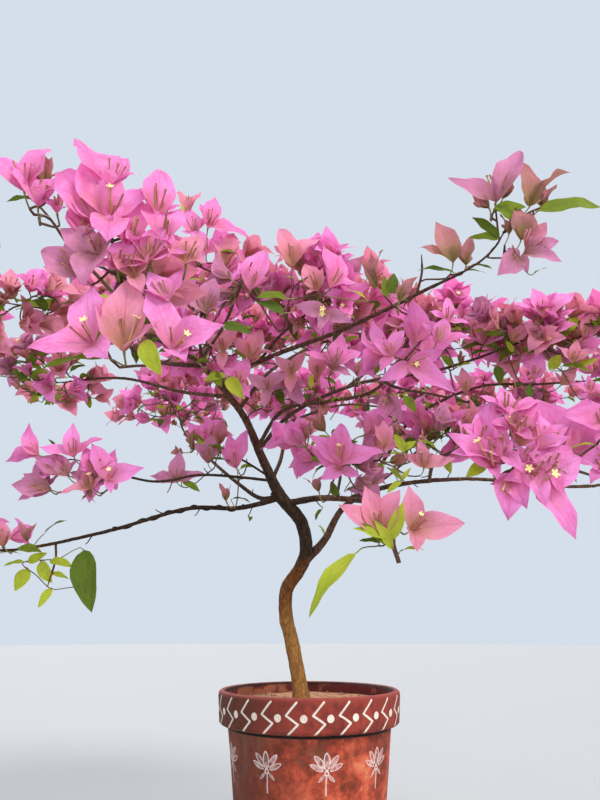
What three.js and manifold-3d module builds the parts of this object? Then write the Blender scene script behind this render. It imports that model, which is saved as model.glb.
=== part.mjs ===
// A potted bougainvillea bush: a painted clay pot with a rim band, the soil in it, one leaning
// trunk, its boughs, and the masses of leaves and bracts that the boughs carry.
// Millimetres, +Z up. The origin is the centre of the pot's flat underside, and the bush is
// seen from -Y, with +X to the right.

import * as THREE from "three";
import { mergeVertices } from "three/addons/utils/BufferGeometryUtils.js";
import Module from "manifold-3d";

const wasm = await Module();
wasm.setup();

// Driving dimensions

const GAP = 0.3; // clearance between neighbouring solids

const POT = {
  height: 280,
  rim: 150, // outer radius of the rim band
  bandFoot: 146.5, // outer radius where the band ends
  bandHeight: 49,
  neck: 133, // outer radius of the body just under the band
  foot: 105, // radius of the underside
  footRound: 4,
  wall: 13,
  wallTaper: 1, // how much the wall thickens from the lip to the soil
  lipRound: 5,
  floor: 16,
  facets: 36,
  roundSteps: 2, // straight pieces in each rounded edge
};
const SOIL_LEVEL = POT.height - 17;

const TRUNK = {
  // the trunk leans left, knees back to the right, and forks at its top
  route: [[-12, 2, 223], [-13, 0, 263], [-27, 0, 342], [-40, -5, 398], [-38, -15, 438], [-17, -30, 468],
    [-5, -50, 497], [-13, -68, 543], [-40, -92, 573], [-58, -100, 593]],
  thick: 25,
  thin: 21,
  flare: 3.5, // how much the roots widen the radius at the soil
  flareHeight: 13, // the height over which that dies away
  roots: 5,
  rootRidge: 0.22, // how far the root ridges stand out of the flare
  sides: 12,
  steps: 20,
};

const LIMB_SIDES = { stout: 7, slim: 5 }; // facets round a limb
const STOUT = 9; // thickness from which a limb counts as stout
const LIMB_STEP = 66; // length of one straight piece of a limb
const LIMB_STEPS = { least: 3, most: 10 };
const OVERLAP = 12; // how far a limb that goes on from its parent's end starts inside it

// A mass's surface swells and sinks in waves
const UNEVEN = 0.13; // how far, as a share of the mass's size
const LUMPS = [2.3, 3.9]; // how close the coarse and the fine waves stand
const UPRIGHT_WAVE = 0.6; // how strong the waves up and down are beside those round about
const SHIFT = new THREE.Vector3(47, 61, 53); // how far off a mass's waves start one radian later
const MASS_DETAIL = 2;

// Colours, roughness and metalness
const CLAY = { color: 0x9c3f30, roughness: 0.8, metalness: 0 };
const EARTH = { color: 0x5b3a2a, roughness: 1, metalness: 0 };
const BARK = { color: 0x6b4630, roughness: 0.9, metalness: 0 };
const BRACTS = { color: 0xdc73b4, roughness: 0.7, metalness: 0 };
const LEAVES = { color: 0x7c9a35, roughness: 0.7, metalness: 0 };

// Each mass: its middle, its half sizes and how far it is turned about the vertical, in degrees.

const MASSES = {
  fore_left: { at: [-160, -688, 648], half: [92, 78, 98], turn: 10 },
  left_edge: { at: [-425, -385, 792], half: [125, 98, 50], turn: -20 },
  left_low: { at: [-312, -330, 584], half: [92, 70, 50], turn: 15 },
  left_tip: { at: [-490, -288, 488], half: [108, 76, 44], turn: 20 },
  left_hanging: { at: [-352, -270, 426], half: [74, 56, 46], turn: 0, finish: LEAVES },
  left_inner: { at: [-185, -150, 652], half: [80, 62, 42], turn: 10 },
  far_left: { at: [-482, -60, 805], half: [118, 138, 58], turn: 10 },
  left_upper: { at: [-318, -178, 872], half: [104, 112, 58], turn: 15 },
  top_left: { at: [-138, -340, 888], half: [100, 98, 74], turn: 0 },
  top_centre: { at: [28, -242, 878], half: [112, 106, 70], turn: 25 },
  fore_top: { at: [-72, -502, 778], half: [80, 78, 46], turn: -20 },
  arch_spur: { at: [138, -462, 816], half: [62, 44, 30], turn: 20 },
  right_tip: { at: [216, -578, 796], half: [66, 56, 70], turn: 0 },
  centre_right: { at: [128, -470, 692], half: [84, 78, 56], turn: -15 },
  centre_low: { at: [38, -330, 604], half: [84, 70, 52], turn: 10 },
  low_centre: { at: [98, -422, 492], half: [70, 52, 44], turn: 0 },
  right_inner: { at: [188, -190, 652], half: [82, 70, 50], turn: -10 },
  right_upper: { at: [400, -205, 838], half: [132, 108, 68], turn: 10 },
  right_edge: { at: [585, -120, 792], half: [96, 118, 62], turn: -15 },
  right_low: { at: [565, -232, 598], half: [92, 84, 46], turn: 20 },
  fore_right: { at: [172, -660, 498], half: [84, 52, 58], turn: 0 },
  top_right: { at: [238, -72, 902], half: [120, 112, 64], turn: 20 },
  right_back: { at: [436, 128, 816], half: [150, 138, 66], turn: -20 },
  back_right: { at: [246, 316, 886], half: [150, 138, 70], turn: 15 },
  back: { at: [-34, 372, 932], half: [154, 130, 68], turn: 0 },
  back_left: { at: [-308, 246, 862], half: [152, 142, 70], turn: 25 },
  crown_left: { at: [-196, 26, 934], half: [150, 150, 68], turn: -10 },
  crown_top: { at: [58, 78, 968], half: [156, 158, 70], turn: 10 },
};

// Each limb: the limb it grows from, how far along that one, the mass or the point it grows to, its
// thickness at both ends, and its bends. A bend is [share of the way, height above the straight line,
// distance to its left]. A taper above 1 thins the limb faster near its foot.

const LIMBS = {
  leader: {
    from: "trunk", at: 1, to: [-184, -200, 789], thick: 17, thin: 8,
    bends: [[0.22, 28, -9], [0.4, 45, -10], [0.68, 30, -7]],
  },
  right_low: {
    from: "trunk", at: 0.65, into: "right_low", thick: 15, thin: 4.5,
    taper: 3, bends: [[0.06, 29, 6], [0.12, 76, 3], [0.22, 90, -9], [0.46, 69, -13], [0.76, 11, 0]],
  },
  left_low: {
    from: "trunk", at: 0.96, into: "left_tip", thick: 9, thin: 4,
    taper: 1.8, bends: [[0.14, -6, -19], [0.31, 3, -18], [0.59, -19, -10], [0.86, -26, -1]],
  },
  left_back: {
    from: "trunk", at: 0.97, into: "back_left", thick: 8, thin: 4,
    bends: [[0.11, -28, 4], [0.33, -46, -5], [0.6, -44, 3], [0.84, -30, 12]],
  },
  centre_right: {
    from: "trunk", at: 0.93, into: "low_centre", thick: 11, thin: 5,
    bends: [[0.1, 14, 46], [0.3, 16, 82], [0.6, 14, 62]],
  },
  back: {
    from: "leader", at: 0.05, into: "back", thick: 8, thin: 4,
    bends: [[0.1, -8, 10], [0.22, 8, 0], [0.42, 60, -4]],
  },
  left_mid: {
    from: "leader", at: 0.1, into: "left_low", thick: 5, thin: 2.8,
    bends: [[0.15, 2, -7], [0.43, -3, 1], [0.69, -22, 12]],
  },
  left_inner: {
    from: "leader", at: 0.12, into: "left_inner", thick: 4, thin: 2.8, bends: [[0.5, 10, 4]],
  },
  mid_fore: {
    from: "leader", at: 0.33, into: "centre_right", thick: 7, thin: 3.5,
    bends: [[0.12, 46, 14], [0.45, 16, 22], [0.77, -22, 5]],
  },
  right_upper: {
    from: "leader", at: 0.31, into: "right_upper", thick: 7.5, thin: 4,
    bends: [[0.1, 44, 10], [0.34, 58, 24], [0.64, 22, 26]],
  },
  arch: {
    from: "leader", at: 0.78, into: "right_tip", thick: 9, thin: 2.6,
    bends: [[0.05, 14, 10], [0.17, 23, 27], [0.44, 6, 38], [0.72, -11, 32], [0.91, -20, 21]],
  },
  far_left: {
    from: "leader", at: 0.7, into: "far_left", thick: 7, thin: 3.5, bends: [[0.25, 6, -14], [0.6, 22, -6]],
  },
  crown_top: {
    from: "leader", at: 0.6, into: "crown_top", thick: 7.5, thin: 4, bends: [[0.3, 26, 8], [0.65, 22, -8]],
  },
  top_left: {
    from: "leader", at: 0.97, into: "top_left", thick: 6, thin: 3, bends: [[0.4, 8, -12]],
  },
  crown_left: {
    from: "leader", at: 0.93, into: "crown_left", thick: 6.5, thin: 3.5, bends: [[0.4, 12, 12]],
  },
  left_edge: {
    from: "leader", at: 0.98, into: "left_edge", thick: 7, thin: 3,
    bends: [[0.3, 14, 8], [0.7, 18, -6]],
  },
  fore_left: {
    from: "leader", at: 1, into: "fore_left", thick: 8, thin: 2.8,
    bends: [[0.21, -16, -26], [0.42, -27, -39], [0.58, -24, -45], [0.75, 6, -40]],
  },
  left_upper: {
    from: "left_edge", at: 0.16, into: "left_upper", thick: 5, thin: 3, bends: [[0.5, 4, -10]],
  },
  fore_top: {
    from: "leader", at: 0.99, into: "fore_top", thick: 5, thin: 3, bends: [[0.3, 16, 14], [0.7, 14, 8]],
  },
  left_hanging: {
    from: "left_low", at: 0.72, into: "left_hanging", thick: 3.5, thin: 2.5, bends: [[0.5, 6, 4]],
  },
  right_mid: {
    from: "right_low", at: 0.215, into: "right_edge", thick: 7, thin: 3,
    bends: [[0.04, 11, -4], [0.12, 50, -10], [0.21, 94, -12], [0.45, 104, -8], [0.67, 62, -2]],
  },
  fore_right: {
    from: "right_low", at: 0.42, into: "fore_right", thick: 6, thin: 3,
    bends: [[0.3, 22, -16], [0.7, 26, -6]],
  },
  centre_low: {
    from: "centre_right", at: 0.22, into: "centre_low", thick: 5, thin: 3, bends: [[0.4, 10, 5]],
  },
  right_inner: {
    from: "centre_right", at: 0.27, into: "right_inner", thick: 4.5, thin: 3, bends: [[0.4, -8, 6]],
  },
  top_centre: {
    from: "arch", at: 0.14, into: "top_centre", thick: 5.5, thin: 3, bends: [[0.4, 6, -8]],
  },
  arch_spur: {
    from: "arch", at: 0.7, into: "arch_spur", thick: 3.5, thin: 2.5, bends: [[0.5, 4, 4]],
  },
  top_right: {
    from: "right_upper", at: 0.36, into: "top_right", thick: 5.5, thin: 3, bends: [[0.4, 14, 8]],
  },
  right_back: {
    from: "right_upper", at: 0.47, into: "right_back", thick: 6, thin: 3.5,
    bends: [[0.15, 2, 20], [0.5, 10, 26]],
  },
  back_right: {
    from: "back", at: 0.42, into: "back_right", thick: 6, thin: 3.5, bends: [[0.4, 26, -10]],
  },
};

// Solids and booleans

function solidOf(geometry) {
  const plain = geometry.clone();
  plain.deleteAttribute("normal");
  plain.deleteAttribute("uv");
  const merged = mergeVertices(plain);
  return new wasm.Manifold(new wasm.Mesh({
    numProp: 3,
    vertProperties: new Float32Array(merged.attributes.position.array),
    triVerts: new Uint32Array(merged.index.array),
  }));
}

function geometryOf(solid) {
  const { vertProperties, triVerts } = solid.getMesh();
  const geometry = new THREE.BufferGeometry();
  geometry.setAttribute("position", new THREE.BufferAttribute(vertProperties, 3));
  geometry.setIndex(new THREE.BufferAttribute(triVerts, 1));
  geometry.computeVertexNormals();
  return geometry;
}

// A cut can leave slivers beside the piece that is meant
function largestBody(solid) {
  return solid.decompose().reduce((best, body) => (body.volume() > best.volume() ? body : best));
}

// The pot and its soil

function potProfile() {
  const { height, rim, bandFoot, neck, foot, footRound, lipRound, floor } = POT;
  const bandBottom = height - POT.bandHeight;
  const inner = innerWall();
  const path = new THREE.Path();
  path.moveTo(0, 0);
  path.lineTo(foot - footRound, 0);
  path.quadraticCurveTo(foot, 0, foot, footRound);
  path.lineTo(neck, bandBottom);
  path.lineTo(bandFoot, bandBottom);
  path.lineTo(rim, height - lipRound);
  path.quadraticCurveTo(rim, height, rim - lipRound, height);
  path.lineTo(inner.lip + lipRound, height);
  path.quadraticCurveTo(inner.lip, height, inner.lip, height - lipRound);
  path.lineTo(inner.top, SOIL_LEVEL);
  path.lineTo(inner.bottom, floor);
  path.lineTo(0, floor);
  return path.getPoints(POT.roundSteps);
}

// The inner radius of the pot at its lip, at the top of the soil and at its floor
function innerWall() {
  const lip = POT.rim - POT.wall;
  return { lip, top: lip - POT.wallTaper, bottom: POT.foot - POT.wall };
}

// A lathe turns a profile of (radius, height) about +Y, which a quarter turn about X sets upright
function turned(profile) {
  return new THREE.LatheGeometry(profile, POT.facets).rotateX(Math.PI / 2);
}

function soilProfile() {
  const inner = innerWall();
  return [
    new THREE.Vector2(0, POT.floor),
    new THREE.Vector2(inner.bottom - GAP, POT.floor),
    new THREE.Vector2(inner.top - GAP, SOIL_LEVEL),
    new THREE.Vector2(0, SOIL_LEVEL),
  ];
}

// Limbs

// A rod bent along a curve. radiusAt gives its radius at a share of the length and an angle round it.
function bentRod(curve, sides, steps, radiusAt) {
  const rod = new THREE.CylinderGeometry(1, 1, 1, sides, steps);
  const frames = curve.computeFrenetFrames(steps, false);
  const place = rod.attributes.position;
  for (let i = 0; i < place.count; i += 1) {
    const [x, y, z] = [place.getX(i), place.getY(i), place.getZ(i)];
    const share = y + 0.5;
    const ring = Math.round(share * steps);
    const reach = radiusAt(share, Math.atan2(z, x));
    const point = curve.getPointAt(ring / steps)
      .addScaledVector(frames.normals[ring], x * reach)
      .addScaledVector(frames.binormals[ring], -z * reach);
    place.setXYZ(i, point.x, point.y, point.z);
  }
  return rod;
}

function trunkCurve() {
  const route = TRUNK.route.map((point) => new THREE.Vector3(...point));
  return new THREE.CatmullRomCurve3(route, false, "centripetal");
}

function trunkSolid(curve, extra) {
  const length = curve.getLength();
  const buried = SOIL_LEVEL - TRUNK.route[0][2];
  const radiusAt = (share, angle) => {
    const height = Math.max(0, share * length - buried);
    const flare = TRUNK.flare * Math.exp(-height / TRUNK.flareHeight);
    const ridge = 1 + TRUNK.rootRidge * Math.sin(TRUNK.roots * angle);
    return THREE.MathUtils.lerp(TRUNK.thick, TRUNK.thin, share) / 2 + flare * ridge + extra;
  };
  return solidOf(bentRod(curve, TRUNK.sides, TRUNK.steps, radiusAt));
}

// The route of a limb: from a point along its parent to its mass or its own end, with its bends
function limbCurve(limb, parent) {
  const start = parent.curve.getPointAt(limb.at);
  if (limb.at === 1) start.addScaledVector(parent.curve.getTangentAt(1), -OVERLAP);
  const end = new THREE.Vector3(...(limb.to ?? MASSES[limb.into].at));
  const left = new THREE.Vector3(start.y - end.y, end.x - start.x, 0).normalize();
  const bends = limb.bends.map(([share, lift, sway]) => {
    const point = start.clone().lerp(end, share).addScaledVector(left, sway);
    point.z += lift;
    return point;
  });
  return new THREE.CatmullRomCurve3([start, ...bends, end], false, "centripetal");
}

function limbSolid(limb, curve, extra) {
  const wanted = Math.ceil(curve.getLength() / LIMB_STEP);
  const steps = THREE.MathUtils.clamp(wanted, LIMB_STEPS.least, LIMB_STEPS.most);
  const radiusAt = (share) => {
    const left = (1 - share) ** (limb.taper ?? 1);
    return THREE.MathUtils.lerp(limb.thin, limb.thick, left) / 2 + extra;
  };
  const sides = limb.thick < STOUT ? LIMB_SIDES.slim : LIMB_SIDES.stout;
  return solidOf(bentRod(curve, sides, steps, radiusAt));
}

// Masses of leaves and bracts

// A ball pulled to the mass's half sizes and swollen and sunk by waves that its own place sets
function massSolid(mass, extra) {
  const ball = new THREE.IcosahedronGeometry(1, MASS_DETAIL);
  const place = ball.attributes.position;
  const shift = new THREE.Vector3(...mass.at).divide(SHIFT);
  const phase = shift.x + shift.y + shift.z;
  const point = new THREE.Vector3();
  for (let i = 0; i < place.count; i += 1) {
    point.fromBufferAttribute(place, i);
    const swell = LUMPS.reduce((sum, pitch, n) => sum
      + Math.sin(pitch * point.x + phase) * Math.sin(pitch * point.y + 2 * phase + n)
      + UPRIGHT_WAVE * Math.sin(pitch * point.z + 3 * phase + n), 0);
    point.multiplyScalar(1 + UNEVEN * swell / LUMPS.length);
    place.setXYZ(i, ...point);
  }
  const [x, y, z] = mass.half;
  ball.scale(x + extra, y + extra, z + extra);
  ball.rotateZ(THREE.MathUtils.degToRad(mass.turn));
  ball.translate(...mass.at);
  return solidOf(ball);
}

// Putting the bush together: every piece stops short of the one that carries it

const bush = new THREE.Group();
bush.name = "potted_bougainvillea";

function addPiece(name, geometry, finish) {
  const mesh = new THREE.Mesh(geometry, new THREE.MeshStandardMaterial(finish));
  mesh.name = name;
  bush.add(mesh);
}

addPiece("pot", turned(potProfile()), CLAY);
addPiece("soil", turned(soilProfile()), EARTH);

const trunk = { curve: trunkCurve() };
const below = solidOf(new THREE.BoxGeometry(POT.rim, POT.rim, SOIL_LEVEL)
  .translate(0, 0, SOIL_LEVEL / 2));
addPiece("trunk", geometryOf(trunkSolid(trunk.curve, 0).subtract(below)), BARK);
trunk.grown = trunkSolid(trunk.curve, GAP);

const limbs = { trunk };
const grownMasses = {};
for (const [name, mass] of Object.entries(MASSES)) {
  grownMasses[name] = massSolid(mass, GAP);
}

for (const [name, limb] of Object.entries(LIMBS)) {
  const parent = limbs[limb.from];
  const curve = limbCurve(limb, parent);
  const elders = Object.values(limbs).filter((other) => other.parent === parent);
  let solid = limbSolid(limb, curve, 0);
  for (const other of [parent, parent.parent, ...elders]) {
    if (other) solid = solid.subtract(other.grown);
  }
  limbs[name] = { curve, grown: limbSolid(limb, curve, GAP), into: limb.into, parent };
  if (limb.into) solid = solid.subtract(grownMasses[limb.into]);
  addPiece(`${name}_bough`, geometryOf(largestBody(solid)), BARK);
}

const placed = [];
for (const [name, mass] of Object.entries(MASSES)) {
  let solid = massSolid(mass, 0);
  for (const neighbour of placed) solid = solid.subtract(grownMasses[neighbour]);
  for (const limb of Object.values(limbs)) {
    if (limb.into !== name) solid = solid.subtract(limb.grown);
  }
  addPiece(`${name}_mass`, geometryOf(largestBody(solid)), mass.finish ?? BRACTS);
  placed.push(name);
}

export default bush;
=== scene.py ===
"""A potted bougainvillea bush in bloom. A leaning trunk rises from a painted clay pot and forks into
thin boughs, which carry a wide, open crown of papery bracts in threes, with slim tube flowers and
green leaves. Lengths in the tables are millimetres, unless metres are named there. The scene is in
metres, with +Z up, and the bush is seen from -Y.
"""

import math
import random
from functools import reduce

import bmesh
import bpy
import numpy as np
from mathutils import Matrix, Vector, noise
from mathutils.bvhtree import BVHTree


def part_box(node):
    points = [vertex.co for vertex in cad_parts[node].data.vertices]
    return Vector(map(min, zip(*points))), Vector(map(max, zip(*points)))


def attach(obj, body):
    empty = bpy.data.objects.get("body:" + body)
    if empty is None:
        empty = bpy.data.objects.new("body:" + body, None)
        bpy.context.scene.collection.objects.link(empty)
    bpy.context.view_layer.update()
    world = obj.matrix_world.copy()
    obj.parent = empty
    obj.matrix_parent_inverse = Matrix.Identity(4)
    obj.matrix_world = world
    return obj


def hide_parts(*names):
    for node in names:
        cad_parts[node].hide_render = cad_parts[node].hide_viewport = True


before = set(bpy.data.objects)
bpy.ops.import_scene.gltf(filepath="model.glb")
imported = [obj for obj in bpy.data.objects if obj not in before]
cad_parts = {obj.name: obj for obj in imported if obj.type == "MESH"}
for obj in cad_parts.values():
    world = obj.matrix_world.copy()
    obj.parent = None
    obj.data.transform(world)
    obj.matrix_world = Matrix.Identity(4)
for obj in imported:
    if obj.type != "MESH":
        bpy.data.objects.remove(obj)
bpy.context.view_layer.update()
MM = 0.001
UP = np.array((0.0, 0.0, 1.0))

# The pot and what is painted on it: the strokes are given from the middle of a sign, across and up

POT = dict(height=280, rim=150, band_foot=146.5, band_height=49, neck=133, foot=105, wall=13, floor=16)
SOIL_LEVEL = 263
CLODS = 260  # clods and bits of grit that lie on the soil
RIM_SIGNS = 24  # zigzags round the band, with a dot between each two
ZIGZAG = [(4, 20), (-11.2, 3), (6.8, -8), (-9.2, -22.5)]
ZIGZAG_HALF = 1.5  # half the brush's width
DOT, DOT_RADIUS = (15, -1), 5.3
LOTUSES = 9  # round the body
LOTUS_HEIGHT = 186
LOTUS_RADIUS = 120  # of the body where they are
PETALS = [  # the middle of each, its half width and half length, and how far it leans out
    ((0, 10), (4.8, 12), 0), ((9.8, 9.8), (3.7, 10.6), 40), ((13.6, 2.6), (3.3, 9.8), 64),
    ((6.8, -10.5), (1.9, 6.6), 136),
]

# The trunk and the boughs, as the solids have them

TRUNK_ROUTE = [(-12, 2, 223), (-13, 0, 263), (-27, 0, 342), (-40, -5, 398), (-38, -15, 438),
               (-17, -30, 468), (-5, -50, 497), (-13, -68, 543), (-40, -92, 573), (-58, -100, 593)]
TRUNK_THICK, TRUNK_THIN = 25, 21
OVERLAP = 12

# Each limb: what it grows from, how far along that, the mass or the point it grows to, its thickness
# at both ends, its taper (above 1 it thins faster near its foot), and its bends (share of the way,
# height above the straight line, distance to its left)

LIMBS = {
    "leader": ("trunk", 1, (-184, -200, 789), 17, 8, 1, [(0.22, 28, -9), (0.4, 45, -10), (0.68, 30, -7)]),
    "right_low": ("trunk", 0.65, "right_low", 15, 4.5, 3,
                  [(0.06, 29, 6), (0.12, 76, 3), (0.22, 90, -9), (0.46, 69, -13), (0.76, 11, 0)]),
    "left_low": ("trunk", 0.96, "left_tip", 9, 4, 1.8,
                 [(0.14, -6, -19), (0.31, 3, -18), (0.59, -19, -10), (0.86, -26, -1)]),
    "left_back": ("trunk", 0.97, "back_left", 8, 4, 1,
                  [(0.11, -28, 4), (0.33, -46, -5), (0.6, -44, 3), (0.84, -30, 12)]),
    "centre_right": ("trunk", 0.93, "low_centre", 11, 5, 1, [(0.1, 14, 46), (0.3, 16, 82), (0.6, 14, 62)]),
    "back": ("leader", 0.05, "back", 8, 4, 1, [(0.1, -8, 10), (0.22, 8, 0), (0.42, 60, -4)]),
    "left_mid": ("leader", 0.1, "left_low", 5, 2.8, 1, [(0.15, 2, -7), (0.43, -3, 1), (0.69, -22, 12)]),
    "left_inner": ("leader", 0.12, "left_inner", 4, 2.8, 1, [(0.5, 10, 4)]),
    "mid_fore": ("leader", 0.33, "centre_right", 7, 3.5, 1,
                 [(0.12, 46, 14), (0.45, 16, 22), (0.77, -22, 5)]),
    "right_upper": ("leader", 0.31, "right_upper", 7.5, 4, 1,
                    [(0.1, 44, 10), (0.34, 58, 24), (0.64, 22, 26)]),
    "arch": ("leader", 0.78, "right_tip", 9, 2.6, 1,
             [(0.05, 14, 10), (0.17, 23, 27), (0.44, 6, 38), (0.72, -11, 32), (0.91, -20, 21)]),
    "far_left": ("leader", 0.7, "far_left", 7, 3.5, 1, [(0.25, 6, -14), (0.6, 22, -6)]),
    "crown_top": ("leader", 0.6, "crown_top", 7.5, 4, 1, [(0.3, 26, 8), (0.65, 22, -8)]),
    "top_left": ("leader", 0.97, "top_left", 6, 3, 1, [(0.4, 8, -12)]),
    "crown_left": ("leader", 0.93, "crown_left", 6.5, 3.5, 1, [(0.4, 12, 12)]),
    "left_edge": ("leader", 0.98, "left_edge", 7, 3, 1, [(0.3, 14, 8), (0.7, 18, -6)]),
    "fore_left": ("leader", 1, "fore_left", 8, 2.8, 1,
                  [(0.21, -16, -26), (0.42, -27, -39), (0.58, -24, -45), (0.75, 6, -40)]),
    "left_upper": ("left_edge", 0.16, "left_upper", 5, 3, 1, [(0.5, 4, -10)]),
    "fore_top": ("leader", 0.99, "fore_top", 5, 3, 1, [(0.3, 16, 14), (0.7, 14, 8)]),
    "left_hanging": ("left_low", 0.72, "left_hanging", 3.5, 2.5, 1, [(0.5, 6, 4)]),
    "right_mid": ("right_low", 0.215, "right_edge", 7, 3, 1,
                  [(0.04, 11, -4), (0.12, 50, -10), (0.21, 94, -12), (0.45, 104, -8), (0.67, 62, -2)]),
    "fore_right": ("right_low", 0.42, "fore_right", 6, 3, 1, [(0.3, 22, -16), (0.7, 26, -6)]),
    "centre_low": ("centre_right", 0.22, "centre_low", 5, 3, 1, [(0.4, 10, 5)]),
    "right_inner": ("centre_right", 0.27, "right_inner", 4.5, 3, 1, [(0.4, -8, 6)]),
    "top_centre": ("arch", 0.14, "top_centre", 5.5, 3, 1, [(0.4, 6, -8)]),
    "arch_spur": ("arch", 0.7, "arch_spur", 3.5, 2.5, 1, [(0.5, 4, 4)]),
    "top_right": ("right_upper", 0.36, "top_right", 5.5, 3, 1, [(0.4, 14, 8)]),
    "right_back": ("right_upper", 0.47, "right_back", 6, 3.5, 1, [(0.15, 2, 20), (0.5, 10, 26)]),
    "back_right": ("back", 0.42, "back_right", 6, 3.5, 1, [(0.4, 26, -10)]),
}

# Each mass of the crown: its middle, how many random sprays it bears, the share of each bract tint
# (pink, mauve, salmon, young), how leafy it is and how large its bracts are

MASSES = {
    "fore_left": ((-160, -688, 648), 8, (8, 0, 4, 1), 0.3, 1.05),
    "left_edge": ((-425, -385, 792), 15, (4, 1, 5, 2), 0.8, 0.9),
    "left_low": ((-312, -330, 584), 2, (6, 1, 2, 0), 0.4, 1.0),
    "left_tip": ((-490, -288, 488), 8, (3, 0, 5, 3), 0.9, 0.85),
    "left_hanging": ((-352, -270, 426), 0, (0, 0, 0, 0), 1, 1.0),
    "left_inner": ((-185, -150, 652), 3, (3, 1, 3, 1), 0.6, 0.9),
    "far_left": ((-482, -60, 805), 26, (4, 1, 5, 2), 0.8, 0.9),
    "left_upper": ((-318, -178, 872), 30, (6, 1, 3, 1), 0.5, 1.0),
    "top_left": ((-138, -340, 888), 22, (7, 1, 3, 1), 0.4, 0.95),
    "top_centre": ((28, -242, 878), 36, (7, 1, 3, 1), 0.4, 1.0),
    "fore_top": ((-72, -502, 778), 5, (7, 1, 3, 1), 0.4, 0.95),
    "arch_spur": ((138, -462, 816), 0, (0, 0, 2, 5), 0.6, 0.85),
    "right_tip": ((216, -578, 796), 2, (3, 0, 5, 3), 0.8, 0.95),
    "centre_right": ((128, -470, 692), 11, (9, 0, 3, 1), 0.5, 1.0),
    "centre_low": ((38, -330, 604), 8, (6, 1, 4, 1), 0.6, 0.95),
    "low_centre": ((98, -422, 492), 0, (2, 0, 5, 1), 0.8, 1.0),
    "right_inner": ((188, -190, 652), 16, (5, 1, 4, 1), 0.8, 0.9),
    "right_upper": ((400, -205, 838), 40, (6, 1, 4, 1), 0.7, 0.95),
    "right_edge": ((585, -120, 792), 24, (5, 1, 3, 1), 0.8, 0.95),
    "right_low": ((565, -232, 598), 13, (6, 1, 3, 1), 0.7, 0.95),
    "fore_right": ((172, -660, 498), 8, (9, 1, 0, 0), 0.3, 1.05),
    "top_right": ((238, -72, 902), 34, (6, 1, 3, 1), 0.5, 1.0),
    "right_back": ((436, 128, 816), 40, (5, 1, 3, 1), 0.7, 0.95),
    "back_right": ((246, 316, 886), 42, (6, 1, 3, 1), 0.6, 1.0),
    "back": ((-34, 372, 932), 40, (6, 1, 3, 1), 0.6, 1.0),
    "back_left": ((-308, 246, 862), 36, (5, 1, 3, 1), 0.7, 1.0),
    "crown_left": ((-196, 26, 934), 42, (6, 1, 3, 1), 0.5, 1.0),
    "crown_top": ((58, 78, 968), 46, (6, 1, 3, 1), 0.5, 1.0),
}
TINTS = ("pink", "mauve", "salmon", "young")
HIGHEST = 1052  # no head reaches above this

# Heads that show one by one: tint, how many stars are open, the foot (pixels of the picture, and its
# depth Y where it differs from the others'), each bract's tip (pixels, how many millimetres nearer than
# the foot it is, and how far it faces the viewer where that is known), and how broad the bracts are

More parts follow.
